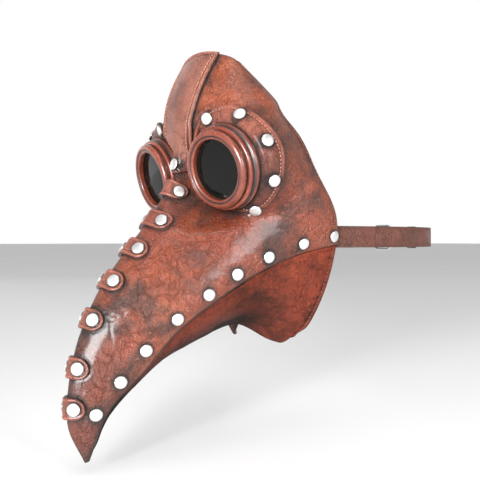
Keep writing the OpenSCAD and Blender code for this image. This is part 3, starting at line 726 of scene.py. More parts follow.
# ---------------------------------------------------------------- rivets
TRIM_H = GAP + TRIM_T + 0.05
TRIM_DEPTH = TRIM_H + PANEL_T + 0.1
FLANGE_TOP = FLANGE_GAP + TRIM_T
FLANGE_DEPTH = FLANGE_TOP + PANEL_T + 0.15
SEAM_DEPTH = 2 * PANEL_T + GAP + 0.15
STRAP_DEPTH = SEAM_DEPTH + STRAP_T + 4.4
SINK = 0.3
CHEEK_ROW_IN = 5.0
STRIP_ROW_IN = 4.3
FLANGE_ROW_IN = 4.0
JAW_ROW_IN = 4.6
T_LENGTH = 42.0


def place(t, s, off):
    """Point and direction of a rivet on the shell."""
    t, s = np.array(float(t)), np.array(float(s))
    return over(t, s, off), skin_n(t, s)


def tab_spots():
    spots = [place(t, s_at(t, x), TRIM_H) for t, x in zip(TAB_T, TAB_RIVET_X)]
    return spots + [place(BRIDGE_T, s_at(BRIDGE_T, BRIDGE_X), TRIM_H + BRIDGE_LIFT)]


def seam_spots():
    return [place(t, s_near(np.array(t), d), 0.05) for t, d in zip(SEAM_RIVET_T, SEAM_RIVET_D)]


def flange_spots():
    out = []
    for a, r in zip(FLANGE_RIVET_A, FLANGE_RIVET_R):
        a = math.radians(a)
        t, s = locate(np.array([math.cos(a), math.sin(a)]) * r)
        out.append(place(t, s, FLANGE_TOP + 0.05))
    return out


TAB_SPOTS = tab_spots()
SEAM_SPOTS = seam_spots()
FLANGE_SPOTS = flange_spots()
STRIP_SPOTS = [place(STRIP_RIVET_T, 0.0, TRIM_H)]


def frame_of(n):
    """Two directions across n, and n itself, all of length 1."""
    n = unit(np.asarray(n, float))
    side = unit(np.cross(n, [0.0, 0.0, 1.0] if abs(n[2]) < 0.9 else [1.0, 0.0, 0.0]))
    return side, np.cross(n, side), n


def lathe(profile, centre, normal, around=72, values=None):
    """Solid turned from a profile of (radius, height); closed in itself or from axis to axis."""
    profile = np.asarray(profile, float)
    u, w, n = frame_of(normal)
    a = np.arange(around) * 2 * math.pi / around
    ring = np.cos(a)[:, None] * u + np.sin(a)[:, None] * w
    grid = centre + ring[:, None] * profile[None, :, 0, None] + n * profile[None, :, 1, None]
    spread = {k: np.broadcast_to(v, grid.shape[:2]) for k, v in (values or {}).items()}
    return torus_grid(grid, spread)


def rounded(profile, r=0.6, n=4):
    """The closed profile with its corners rounded."""
    p = np.asarray(profile, float)
    out = []
    for i in range(len(p)):
        a, b, c = p[i - 1], p[i], p[(i + 1) % len(p)]
        if b[0] < 1e-6:
            out.append(b)
            continue
        la, lc = length(a - b), length(c - b)
        start = b + (a - b) * min(r, 0.42 * la) / la
        end = b + (c - b) * min(r, 0.42 * lc) / lc
        for k in range(n + 1):
            q = k / n
            out.append(start * (1 - q) ** 2 + 2 * b * q * (1 - q) + end * q * q)
    return np.array(out)


def rivet(spot, depth):
    """Rivet head with a rolled rim, a slightly domed top and its shank."""
    p, n = spot
    dome = [(RIVET_R * q, RIVET_H * (1 - 0.22 * q ** 2.2)) for q in np.linspace(0, 0.8, 9)]
    side = [(RIVET_R * 0.9, RIVET_H * 0.66), (RIVET_R * 0.97, RIVET_H * 0.42), (RIVET_R, 0.35),
            (RIVET_R * 0.98, 0.0), (RIVET_R * 0.8, -0.05), (SHANK_R, -0.05), (SHANK_R, -depth), (0, -depth)]
    profile = np.array(dome + side)
    grime = np.where(profile[:, 0] > RIVET_R * 0.93, 0.75, 0.0)
    return lathe(profile, p - n * SINK, n, 40, {"dirt_and_shade": grime})


def rivet_back(spot, depth, r=BACK_R):
    """The rivet's cap on the inside."""
    p, n = spot
    profile = rounded([(0, -depth + 0.05), (r, -depth + 0.05), (r, -depth - 1), (0, -depth - 1)], 0.4, 3)
    return lathe(profile, p, n, 32)


def both_sides(solids):
    return solids + [s.mirrored() for s in solids]


def add_rivets(name, spots, depths, both=False, sign=1.0, back=BACK_R):
    heads = [rivet(s, d) for s, d in zip(spots, depths)]
    caps = [rivet_back(s, d, back) for s, d in zip(spots, depths)]
    if both:
        heads, caps = both_sides(heads), both_sides(caps)
    add_piece(name + "_heads", joined(heads), [STEEL], [name + "s"], sign=sign)
    add_piece(name + "_caps", joined(caps), [STEEL], [name + "_backs"], sign=sign)


add_rivets("tab_rivet", TAB_SPOTS, [TRIM_DEPTH] * len(TAB_SPOTS), both=True)
add_rivets("strip_rivet", STRIP_SPOTS, [TRIM_DEPTH], back=BACK_R - 1.4)
for side, sign in SIDES:
    seam_depths = [SEAM_DEPTH] * (len(SEAM_SPOTS) - 1) + [STRAP_DEPTH]
    add_rivets(side + "_seam_rivet", SEAM_SPOTS, seam_depths, sign=sign)
    add_rivets(side + "_flange_rivet", FLANGE_SPOTS, [FLANGE_DEPTH] * len(FLANGE_SPOTS), sign=sign)


def ring_dirt(p, spots):
    """Grime that has gathered round the rivets, and the distance from the nearest rivet's axis."""
    best = np.full(p.shape[:-1], FAR)
    for c, n in spots:
        d = p - c
        h = d @ n
        best = np.minimum(best, length(d - h[..., None] * n) + 0.5 * np.maximum(np.abs(h) - 8, 0))
    return fade(best - RIVET_R - 0.3, 1.5), best


def dent(dist, reach=3.5):
    """How deep a rivet presses the leather in, dist from its axis."""
    return 0.35 * bell(np.maximum(dist, 3), 3, reach)


def run_of(path):
    """Distance of each point from the path's start, along the path."""
    return np.concatenate([[0], np.cumsum(length(np.diff(path, axis=0)))])


def stitch_row(points, normals, pitch=3.6, radius=0.42, sunk=0.1, rings=7, around=8):
    """Stitches along a line of points: short rounded threads that dip at both ends."""
    run = run_of(points)

    def sample(values, at):
        return np.array([np.interp(at, run, values[:, j]) for j in range(3)])

    u = np.linspace(-1, 1, rings)
    a = np.arange(around) * 2 * math.pi / around
    ring_r = radius * np.sqrt(np.maximum(1 - u ** 4, 0.02))[:, None]
    lift = radius * (0.9 - 1.3 * u * u) - sunk
    count = int(run[-1] / pitch)
    solids = []
    for k in range(count):
        at = (k + 0.5) * run[-1] / count
        c = sample(points, at)
        along = unit(sample(points, at + 0.5) - c)
        across = unit(np.cross(unit(sample(normals, at)), along))
        n = np.cross(along, across)
        grid = (c + along * (u * pitch * 0.4)[:, None, None] + n * lift[:, None, None]
                + across * (ring_r * np.cos(a))[..., None] + n * (ring_r * np.sin(a))[..., None])
        solids.append(capped_tube(grid))
    return joined(solids)


# ---------------------------------------------------------------- tabs over the ridge
SPAN = 4.0
TABS = [(f"ridge_tab_{i + 1}", t, TAB_RIVET_X[i], TAB_REACH, GAP) for i, t in enumerate(TAB_T)]
TABS.append(("bridge_tab", BRIDGE_T, BRIDGE_X, BRIDGE_REACH, GAP + BRIDGE_LIFT))


def tab_axis(t, rivet_x):
    """The rivet's point on the shell and the direction of the ridge there."""
    t = np.array(float(t))
    return skin(t, s_at(t, np.array(float(rivet_x)))), unit(ridge(t + 0.1) - ridge(t - 0.1))


def t_along(t, x, p, w, aim):
    """The t at which the shell, x from the middle plane, lies aim along direction w from point p."""
    for _ in range(5):
        f = (skin(t, s_at(t, x)) - p) @ w - aim
        h = (skin(t + 0.05, s_at(t + 0.05, x)) - p) @ w - aim
        t = t - 0.05 * f / (h - f)
    return t


def slant(t, x):
    """How many times longer the shell runs than its width just outside x, square to the ridge."""
    p, w = tab_axis(t, x)
    out = np.array(x + SPAN)
    at = t_along(np.array(float(t)), out, p, w, 0.0)
    return float(length(skin(at, s_at(at, out)) - p) / SPAN)


def tab_points(t, rivet_x, past, rows=31, cols=91):
    """Grid of (t, x) over a tab: straight sides, and ends rounded past the rivets."""
    g = slant(t, rivet_x)
    x = (rivet_x + past / g) * clustered(cols, 0.9)
    r = TAB_W / 2
    into = np.maximum(0, (np.abs(x) - rivet_x) * g - past + r)
    half = np.maximum(np.sqrt(np.maximum(r * r - into * into, 0)), 0.05 * r)
    aim = half[None, :] * clustered(rows, 0.8)[:, None]
    xx = np.broadcast_to(x[None, :], aim.shape)
    p, w = tab_axis(t, rivet_x)
    return t_along(np.full(aim.shape, float(t)), np.abs(xx), p, w, aim), xx


def on_ridge(tt, xx, off):
    """Points at height off over the shell, at xx from the middle on either side."""
    p = over(tt, s_at(tt, np.abs(xx)), off)
    p[..., 0] = np.where(xx == 0, 0, np.sign(xx) * np.abs(p[..., 0]))
    return p


def add_tab(number, name, t, rivet_x, past, gap):
    tt, xx = tab_points(t, rivet_x, past)
    mid = on_ridge(tt, xx, np.full(tt.shape, gap + TRIM_T))
    b = border(mid)
    relief, lines = leather_relief(mid, 300 + number)
    spots = TAB_SPOTS + [(p * [-1, 1, 1], n * [-1, 1, 1]) for p, n in TAB_SPOTS]
    ring, dist = ring_dirt(mid, spots)
    rim = 0.3 * bell(b, 1.8, 0.9) - 0.25 * bell(b, 3.4, 0.5)
    top = gap + TRIM_T + 0.35 * relief * smooth(b / 2) - dent(dist) + rim - fillet(b, 1.2)
    low = np.full(tt.shape, gap) + fillet(b, 0.5)
    dirt_and_shade = np.maximum(ring * 0.95, 0.9 * fade(b, 0.6)) + 0.5 * lines
    dirt_and_shade = np.maximum(dirt_and_shade, 0.55 * bell(b, 3.4, 0.5))
    # The tab's rim bead is lighter: wear and a painted highlight.
    wear_and_highlight = 0.8 * bell(b, 1.7, 0.7)
    solid = shell(on_ridge(tt, xx, top), on_ridge(tt, xx, low), values={"dirt_and_shade": dirt_and_shade, "wear_and_highlight": wear_and_highlight})
    add_piece(name + "_leather", solid, [TAB, LINING], [name])


for number, tab in enumerate(TABS):
    add_tab(number, *tab)


# ---------------------------------------------------------------- forehead strip
def strip_half(t):
    """Half the width of the forehead strip, with its lower end rounded."""
    u = (t - STRIP_END_T) / (TOP_T - STRIP_END_T)
    w = curve(STRIP_W, 8 * u)[..., 0]
    end = (t - STRIP_END_T) * T_PACE
    short = np.maximum(END_R - end, 0)
    round_end = np.maximum(np.sqrt(np.maximum(END_R ** 2 - short ** 2, 0)), 0.6)
    return np.where(end >= END_R, w, np.minimum(w, round_end))


def add_strip():
    rows, cols = 170, 81
    u = np.linspace(0, 1, rows)
    t = STRIP_END_T + (TOP_T - STRIP_END_T) * (0.45 * u ** 1.8 + 0.55 * u)
    t = np.unique(np.concatenate([STRIP_END_T + np.array([0, 0.002, 0.006, 0.012]), t[1:]]))
    across = clustered(cols, 0.55)
    tt = np.broadcast_to(t[:, None], (len(t), cols))
    xx = strip_half(t)[:, None] * across[None, :]
    base = on_ridge(tt, xx, np.full(tt.shape, GAP + TRIM_T))
    b = border(base)
    b = np.minimum(b, 1.2 * strip_half(tt) * (1 - np.abs(across[None, :])) + 0.02 * (tt - STRIP_END_T))
    relief, lines = leather_relief(base, 400)
    ring, dist = ring_dirt(base, STRIP_SPOTS)
    bead = 0.9 * bell(b, 2.0, 1.0)
    groove = bell(b, 3.9, 0.55)
    top = (GAP + TRIM_T + 0.4 * relief * smooth(b / 3) + bead - 0.55 * groove - fillet(b, 1.3)
           - dent(dist))
    low = GAP + fillet(b, 0.5)
    rope = 0.5 + 0.5 * np.sin(tt * T_PACE * 2 * math.pi / 2.4)
    top = top + 0.16 * rope * bell(b, 2.0, 0.8)
    dirt_and_shade = np.maximum(np.maximum(ring, 0.9 * fade(b, 0.5)), 0.75 * groove) + 0.4 * lines
    # The piped bead is lighter along its length: wear and a painted highlight.
    wear_and_highlight = 0.95 * bell(b, 2.0, 0.9) * (0.6 + 0.4 * rope)
    solid = shell(on_ridge(tt, xx, top), on_ridge(tt, xx, low), values={"dirt_and_shade": dirt_and_shade, "wear_and_highlight": wear_and_highlight})
    add_piece("forehead_strip_leather", solid, [STRIP, LINING], ["forehead_strip"])
    rowt = np.linspace(STRIP_END_T + 0.42, TOP_T - 0.12, 90)
    solids = []
    for sign in (-1, 1):
        x = sign * (strip_half(rowt) - STRIP_ROW_IN)
        p = on_ridge(rowt, x, np.full(rowt.shape, GAP + TRIM_T))
        n = skin_n(rowt, s_at(rowt, np.abs(x))) * [sign, 1, 1]
        solids.append(stitch_row(p, n, 3.2, 0.45, 0.05))
    add_piece("forehead_strip_stitches", joined(solids), [PALE_THREAD])


add_strip()


# ---------------------------------------------------------------- side panels
def capsule_gap(p, t):
    """Distance from the outline of the nearest tab, along the shell."""
    best = np.full(p.shape[:-1], 1e9)
    for _, at, rivet_x, past, _ in TABS:
        q, w = tab_axis(at, rivet_x)
        along = np.where(np.abs(t - at) < 1, (p - q) @ w, 99)
        into = np.maximum((p[..., 0] - rivet_x) * slant(at, rivet_x) - past + TAB_W / 2, 0)
        best = np.minimum(best, np.hypot(into, along) - TAB_W / 2)
    return best


def on_beak(t):
    """1 along the beak, where the seam is seen from its side, and 0 on the cheek."""
    return 1 - smooth((t - 4.4) / 1.4)


def add_side_panel(side, sign):
    beak = np.linspace(0, 6.4, 200)
    face = np.linspace(6.4, TOP_T - 0.12, 120)[1:]
    top = TOP_T - np.array([0.09, 0.06, 0.035, 0.015, 0.004, 0])
    t = np.concatenate([beak, face, top])[:, None]
    mid_x = np.array([0, 0.15, 0.4, 0.8, 1.3, 2.0])
    rim_d = np.array([3.4, 2.7, 2.0, 1.4, 0.9, 0.5, 0.2, 0.0])
    first = np.minimum(s_at(t, mid_x[None, :]), 0.16 * mid_x / mid_x[-1])
    last = np.maximum(s_near(np.broadcast_to(t, (len(t), len(rim_d))), rim_d), 1 - 0.4 * rim_d / rim_d[0])
    body = np.linspace(0, 1, 92)[None, 1:-1]
    s = np.concatenate([first, lerp(first[:, -1:], last[:, :1], body), last], 1)
    tt = np.broadcast_to(t, s.shape)
    base = skin(tt, s)
    n = skin_n(tt, s)
    th = shell_t(tt)
    d_edge = (1 - s) * length(skin(tt, np.ones_like(s)) - skin(tt, np.full_like(s, 0.8))) / 0.2
    d_top = (TOP_T - tt) * T_PACE
    d_mid = base[..., 0]
    relief, lines = leather_relief(base * [sign, 1, 1], 10 if sign > 0 else 77)
    still = smooth(d_edge / 4) * smooth(d_mid / 4)
    ring, dist = ring_dirt(base, SEAM_SPOTS)
    tab_gap = capsule_gap(base, tt)
    strip_gap = np.where(tt > STRIP_END_T - 0.2, d_mid - strip_half(np.maximum(tt, STRIP_END_T)), 99)
    uw = chart(tt, s)
    reach = length(uw)
    angle = np.degrees(np.arctan2(uw[..., 1], uw[..., 0])) % 360
    near_eye = (base - EYE) @ EYE_N > -60
    ring_gap = np.where(near_eye & (tt > 5), reach - flange_r(angle), 99)
    cheek = smooth((tt - CHEEK_T) / 0.4)
    hem, hem_groove = bell(d_edge, 2.6, 1.1) * cheek, bell(d_edge, 5.0, 0.6) * cheek
    rim_r = np.minimum(1.4, 0.5 * th)
    seat = np.where(np.minimum(tab_gap, np.minimum(strip_gap, ring_gap)) < 1.5, 0.15, 1.0)
    out = (relief * still * seat * np.minimum(th / PANEL_T, 1) - dent(dist, 4) - fillet(d_edge, rim_r)
           - fillet(d_mid, np.minimum(0.8, 0.4 * th)) - fillet(d_top, 1.2) + 0.5 * hem - 0.4 * hem_groove)
    inn = -th + fillet(d_edge, 0.5 * rim_r) + fillet(d_top, 0.8)
    outer = base + n * out[..., None]
    inner = base + n * inn[..., None]
    floor_x = 0.02 * np.arange(s.shape[1])[None, :]
    for grid in (outer, inner):
        grid[..., 0] = np.where(s <= 0, 0, np.maximum(grid[..., 0], floor_x))
    # Painted shadow cast by the tabs, forehead strip and eye flange: the panel darkens just outside their
    # outlines, with a fainter wider band; combined below with the grime round the rivets.
    shade = fade(tab_gap, 1.3) + fade(strip_gap, 1.6) + fade(ring_gap, 1.8)
    shade = shade + 0.2 * fade(ring_gap, 6) + 0.25 * fade(tab_gap, 6)
    # Painted shade of the seam gap: the outermost millimetre of the edge, nearly three along the beak, is
    # near-black, and a broader band darkens toward the edge.
    dirt_and_shade = np.maximum(ring, shade) + fade(d_edge - 0.9 - 1.8 * on_beak(tt), 0.6) + 0.22 * fade(d_edge, 4)
    dirt_and_shade = np.maximum(dirt_and_shade, 0.95 * fade(d_mid, 0.6)) + 0.2 * lines * still + 0.7 * hem_groove
    beak_ridge = 0.3 * fade(d_mid, 16) * smooth((6.5 - tt) / 2) * smooth((noise(base, 16, 5) + 0.6))
    smear = smooth(2.2 * noise(base, 34, 61) - 0.3)
    dirt_and_shade = dirt_and_shade + beak_ridge + 0.5 * fade(d_edge, 18) * smooth(tt - 7.2) + 0.4 * smear
    dirt_and_shade = dirt_and_shade + 0.15 * smooth(1.8 - tt)
    flat = reach[:-1, :-1] + reach[1:, 1:] + reach[:-1, 1:] + reach[1:, :-1]
    keep = ~((flat / 4 < EYE_HOLE_R + 0.2) & (np.abs((base - EYE) @ EYE_N)[:-1, :-1] < 12))
    # The cheek's hem bead is lighter: wear and a painted highlight.
    solid = shell(outer, inner, keep=keep, values={"dirt_and_shade": dirt_and_shade, "wear_and_highlight": 0.6 * hem})
    add_piece(side + "_side_leather", solid, [SHELL, LINING], [side + "_side_panel"],
              sign=sign)
    rt = np.linspace(CHEEK_T + 0.45, TOP_T - 0.1, 120)
    rs = s_near(rt, CHEEK_ROW_IN)
    rows = stitch_row(over(rt, rs, np.full(rt.shape, -0.15)), skin_n(rt, rs), 3.8, 0.45, 0.05)
    add_piece(side + "_side_stitches", rows, [DARK_THREAD], sign=sign)


for side, sign in SIDES:
    add_side_panel(side, sign)


# ---------------------------------------------------------------- jaw panels and the keel strip
def round_corner(t, v):
    """The jaw panel's (t, v) with its rear lower corner drawn in."""
    corner = (smooth((t - 6.3) / 0.7) * smooth((v - 0.7) / 0.3)) ** 1.5
    return t - 0.22 * corner, v - 0.1 * corner


def add_jaw_panel(side, sign):
    t = np.concatenate([np.linspace(0, CHEEK_T - 0.1, 230),
                        CHEEK_T - np.array([0.08, 0.06, 0.04, 0.025, 0.012, 0.004, 0])])[:, None]
    tucked = np.linspace(0, 1, 9)[None, :-1]
    near = s_near(t, TUCK)
    s = lerp(near, 1.0, tucked)
    v = np.concatenate([[0, 0.012, 0.028, 0.05], np.linspace(0.07, 0.96, 62), [0.975, 0.986, 0.994, 1.0]])
    tt, ss = np.broadcast_arrays(t, s)
    p_tuck = over(tt, ss, -shell_t(tt) - GAP)
    n_tuck = skin_n(tt, ss)
    tv, vv = np.broadcast_arrays(t, v[None, :])
    tv, vv = round_corner(tv, vv)
    p_low = jaw(tv, vv)
    lead = skin_n(tv, np.ones_like(tv))
    n_low = unit(lerp(lead, jaw_n(tv, vv), smooth(vv * 3)[..., None]))
    base = np.concatenate([p_tuck, p_low], 1)
    n = np.concatenate([n_tuck, n_low], 1)
    tall = np.broadcast_to(t, base.shape[:2])
    th = shell_t(tall)
    seam_run = length(np.diff(p_low, axis=1))
    run = np.concatenate([np.zeros((len(t), 1)), np.cumsum(seam_run, 1)], 1)
    hidden = tucked.shape[1]
    d_seam = np.concatenate([np.zeros((len(t), hidden)), run], 1)
    d_low = np.concatenate([np.full((len(t), hidden), 99.0), run[:, -1:] - run], 1)
    rear = length(np.diff(base, axis=0))
    back = np.concatenate([np.cumsum(rear[::-1], 0)[::-1], np.zeros((1, base.shape[1]))], 0)
    under = np.arange(base.shape[1])[None, :] < hidden
    shown = np.where(under, 0, 1)
    relief, lines = leather_relief(base * [sign, 1, 1] + 500, 150 if sign > 0 else 190)
    still = shown * smooth(d_seam / 3) * smooth(d_low / 3) * smooth(back / 3)
    hem = bell(back, 2.4, 1.1) * shown
    groove = bell(back, 4.6, 0.6) * shown
    line = 1.4 + 2.6 * on_beak(tall)
    welt = 0.6 * bell(d_seam, line + 1.4, 1.0) * shown
    gather = 0.35 * np.sin(d_seam * 2 * math.pi / 7.5 + 2 * noise(base, 11, 3)) * fade(back - 4, 9)
    gather = gather * smooth(back / 5) * shown
    rim_r = np.minimum(1.2, 0.4 * th)
    end = np.minimum(d_low, back)
    out = relief * 1.1 * still + 0.5 * hem - 0.45 * groove + welt + gather - fillet(end, rim_r)
    inn = -th + fillet(end, rim_r * 0.6)
    outer = base + n * out[..., None]
    inner = base + n * inn[..., None]
    for grid in (outer, inner):
        grid[..., 0] = np.maximum(grid[..., 0], 0.02)
        grid[:, -1, 0] = np.where(t[:, 0] <= 5, 0, grid[:, -1, 0])
    # Painted shade under the side panel's edge: the tucked part and a band below the seam, wider along the
    # beak, are dark; the lower and rear edges darken too.
    dirt_and_shade = np.where(under, 0.6, 1.0 - smooth((d_seam - line) / 0.8)) + 0.8 * fade(end, 0.8)
    dirt_and_shade = dirt_and_shade + 0.25 * lines * still + 0.8 * groove + 0.25 * fade(end, 9) - 0.25 * gather
    # Painted shade with some grime in the hollow toward the throat, and painted shade along the underside of
    # the beak.
    throat_shade_and_grime = np.exp(-(length(base - np.array([38.0, -66.0, -118.0])) / 30) ** 2)
    underside_shade = smooth((6.2 - tall) / 1.5) * smooth(1.25 - d_low / 34)
    dirt_and_shade = dirt_and_shade + 0.65 * throat_shade_and_grime + 0.95 * underside_shade * shown
    # The welt just below the seam is lighter as a painted highlight; the rear hem bead is lighter with wear
    # and a painted highlight.
    wear_and_highlight = 0.5 * hem + bell(d_seam, line + 1.4, 0.7) * shown
    solid = shell(outer, inner, values={"dirt_and_shade": dirt_and_shade, "wear_and_highlight": wear_and_highlight})
    add_piece(side + "_jaw_leather", solid, [JAW, LINING], [side + "_jaw_panel"], sign=sign)
    at, down = round_corner(np.full(60, CHEEK_T - JAW_ROW_IN / T_LENGTH), np.linspace(0.06, 0.93, 60))
    rows = stitch_row(jaw(at, down), jaw_n(at, down), 3.6, 0.45, 0.25)
    add_piece(side + "_jaw_stitches", rows, [DARK_THREAD], sign=sign)


for side, sign in SIDES:
    add_jaw_panel(side, sign)

KEEL_T = 1.2


def keel_points(off, rows=90, cols=21):
    """Grid over the strip inside the butt seam, off further in than the jaw panels' inner face."""
    t = np.linspace(1.3, 4.8, rows)[:, None]
    x = np.linspace(-1, 1, cols)[None, :]
    wide = length(jaw(t, np.full_like(t, 0.8)) - jaw(t, np.ones_like(t))) / 0.2
    v = 1 - np.abs(x) * KEEL_W / 2 / wide
    tt = np.broadcast_to(t, v.shape)
    p = jaw(tt, v) - jaw_n(tt, v) * (shell_t(tt) + 0.6 + off)[..., None]
    p[..., 0] = np.where(x == 0, 0, np.sign(x) * p[..., 0])
    return p


b = border(keel_points(0))
keel = shell(keel_points(KEEL_T - fillet(b, 0.5)), keel_points(0), values={"dirt_and_shade": 0.5 * fade(b, 1.5)})
add_piece("keel_strip_leather", keel, [LINING], ["keel_strip"])


# ---------------------------------------------------------------- eye flanges and eyepieces
def headings(a):
    """Unit vectors in the eyepiece's plane, from angles in degrees."""
    return np.stack([np.cos(np.radians(a)), np.sin(np.radians(a))], -1)


def flange_grid():
    """Grid over the eye flange: (t, s), the radius, and the radius of the outline there."""
    a = np.arange(220) * 360 / 220
    wide = flange_r(a)
    u = np.concatenate([[0, 0.01, 0.03, 0.07], np.linspace(0.12, 0.9, 26), [0.93, 0.955, 0.975, 0.99, 1.0]])
    r = lerp(FLANGE_IN, wide[None, :], u[:, None])
    t, s = locate(headings(a)[None] * r[..., None])
    return t, s, r, np.broadcast_to(wide[None, :], r.shape)


FLANGE_T, FLANGE_S, FLANGE_RR, FLANGE_WIDE = flange_grid()


def add_flange(side, sign):
    t, s = FLANGE_T, FLANGE_S
    base = skin(t, s)
    n = skin_n(t, s)
    d_out = FLANGE_WIDE - FLANGE_RR
    d_in = FLANGE_RR - FLANGE_IN
    roomy = smooth((FLANGE_WIDE - 38) / 5)
    relief, lines = leather_relief(base * [sign, 1, 1] + 900, 230 if sign > 0 else 270)
    ring, dist = ring_dirt(base, FLANGE_SPOTS)
    bead = 0.85 * bell(d_out, 1.9, 1.0) * roomy
    groove = bell(d_out, 4.0, 0.6) * roomy
    # Painted shadow of the eyecup: the flange darkens just outside the cup's rim.
    cup_shadow = fade(FLANGE_RR - CUP_R - 0.4, 0.9)
    out = (FLANGE_TOP + bead - 0.5 * groove + 0.35 * relief * smooth(d_out / 3)
           - dent(dist) - fillet(d_out, 1.3) - fillet(d_in, 0.6))
    inn = FLANGE_GAP + fillet(d_out, 0.5)
    dirt_and_shade = np.maximum(np.maximum(ring, cup_shadow), 0.75 * groove) + 0.9 * fade(d_out, 0.5) + 0.5 * lines
    # The flange's outer bead is lighter: wear and a painted highlight.
    wear_and_highlight = 0.75 * bell(d_out, 1.8, 0.8)
    outer = base + n * out[..., None]
    inner = base + n * inn[..., None]
    solid = shell(outer, inner, loop=True, values={"dirt_and_shade": dirt_and_shade, "wear_and_highlight": wear_and_highlight})
    add_piece(side + "_flange_leather", solid, [FLANGE, LINING], [side + "_eye_flange"],
              sign=sign)
    a = np.linspace(-78, 122, 200)
    lt, ls = locate(headings(a) * (flange_r(a % 360) - FLANGE_ROW_IN)[:, None])
    rows = stitch_row(over(lt, ls, np.full(a.shape, FLANGE_TOP - 0.35)), skin_n(lt, ls), 3.0, 0.4, 0.05)
    add_piece(side + "_flange_stitches", rows, [PALE_THREAD], sign=sign)


TUBE_R = EYE_HOLE_R - 0.3
NUT_TOP = -PANEL_T - 0.3
NUT_T = 4.0
SEAT_H = CUP_H - LENS_T - 1.6
CUP_BASE = FLANGE_TOP + 0.1
LENS_R = 28.7
LENS_DOME = 0.81
BORE_R = 28.2


def profile_dirt(profile, reach=0.9):
    """Grime in the inner corners of a closed profile of (radius, height)."""
    p = np.asarray(profile, float)
    a, c = p - np.roll(p, 1, 0), np.roll(p, -1, 0) - p
    turn = a[:, 0] * c[:, 1] - a[:, 1] * c[:, 0]
    area = (p[:, 0] * np.roll(p[:, 1], -1) - np.roll(p[:, 0], -1) * p[:, 1]).sum()
    bend = np.arcsin(np.clip(turn / (length(a) * length(c) + 1e-9), -1, 1)) * -np.sign(area)
    hollow = np.maximum(bend, 0)
    near = length(p[:, None] - p[None, :])
    return np.clip((hollow[None, :] * np.exp(-(near / reach) ** 2)).sum(1), 0, 1)


def turned(name, profile, sign, material, nodes, r, around=144, dirt_and_shade=None):
    """Piece turned round the eyepiece's axis; r rounds its corners, unless its dirt is given."""
    p = np.array(profile) if dirt_and_shade is not None else rounded(profile, r)
    solid = lathe(p, EYE, EYE_N, around, {"dirt_and_shade": profile_dirt(p) if dirt_and_shade is None else dirt_and_shade(p[:, 0])})
    add_piece(name, solid, [material], nodes, sign=sign)


def arc(cx, cz, r, a0, a1, n=7):
    """Points on an arc, from angle a0 to a1 in degrees."""
    a = np.radians(np.linspace(a0, a1, n))
    return [(cx + r * math.cos(q), cz + r * math.sin(q)) for q in a]


def add_eyepiece(side, sign):
    b = CUP_BASE
    nut_low = NUT_TOP - NUT_T
    cup = [(BORE_R, nut_low - 1), (TUBE_R - 1, nut_low - 1), (TUBE_R, nut_low), (TUBE_R, b)]
    cup += [(CUP_R - 0.6, b)] + arc(CUP_R - 2.2, b + 2.3, 2.3, -60, 70, 8)
    cup += [(35.0, b + 4.7), (34.3, b + 5.0), (34.2, b + 5.6)]
    cup += arc(33.2, CUP_H - 3.2, 1.9, -20, 85, 7) + [(31.2, CUP_H - 1.3), (30.8, CUP_H - 1.0)]
    cup += [(30.6, CUP_H), (29, CUP_H), (29, SEAT_H - 0.8), (26, SEAT_H - 0.8), (26, SEAT_H - 2.4),
            (BORE_R, SEAT_H - 4)]
    turned(side + "_eyecup_body", cup, sign, EYEPIECE, [side + "_eyecup"], 0.35)
    out = CUP_R - 0.6
    nut = [(TUBE_R + 0.15, nut_low), (out - 0.8, nut_low), (out, nut_low + 0.8), (out, NUT_TOP - 0.2),
           (TUBE_R + 0.15, NUT_TOP - 0.2)]
    turned(side + "_cup_nut_body", nut, sign, EYEPIECE, [side + "_cup_nut"], 0.4)
    seal = [(26.2, SEAT_H - 0.7), (28.8, SEAT_H - 0.7), (28.8, SEAT_H - 0.05), (26.2, SEAT_H - 0.05)]
    turned(side + "_gasket_ring", seal, sign, RUBBER, [side + "_gasket"], 0.2)
    glass = [(LENS_R * q, SEAT_H + LENS_T + LENS_DOME * (1 - q * q)) for q in np.linspace(0, 0.985, 14)]
    glass += [(LENS_R, SEAT_H + LENS_T - 0.3)] + [(LENS_R * q, SEAT_H) for q in np.linspace(1, 0, 12)]
    turned(side + "_lens_glass", glass, sign, LENS, [side + "_lens"], None, 96,
           lambda r: np.clip((r - 21) / 6, 0, 1) ** 2)
    z = CUP_H
    ring = [(VIEW_R, SEAT_H + LENS_T + 1.0), (28.6, SEAT_H + LENS_T + 0.1), (28.8, z + 0.15),
            (BEZEL_R - 0.6, z + 0.15)]
    ring += arc(BEZEL_R - 3.0, z + 2.0, 3.0, -30, 110, 10)
    ring += [(BEZEL_R - 4.7, z + 4.0), (BEZEL_R - 5.2, z + 4.2)] + arc(VIEW_R + 1.6, z + 2.7, 1.6, 80, 190, 7)
    turned(side + "_bezel_ring", ring, sign, EYEPIECE, [side + "_bezel"], 0.3)


for side, sign in SIDES:
    add_flange(side, sign)
    add_eyepiece(side, sign)


# ---------------------------------------------------------------- head strap, keeper and buckle
STITCH_IN = 2.6


def beside(path, outward):
    """Unit vectors at right angles to a path seen from above."""
    way = unit(np.gradient(path, axis=0))
    return np.stack([way[:, 1], -way[:, 0]], -1) * outward


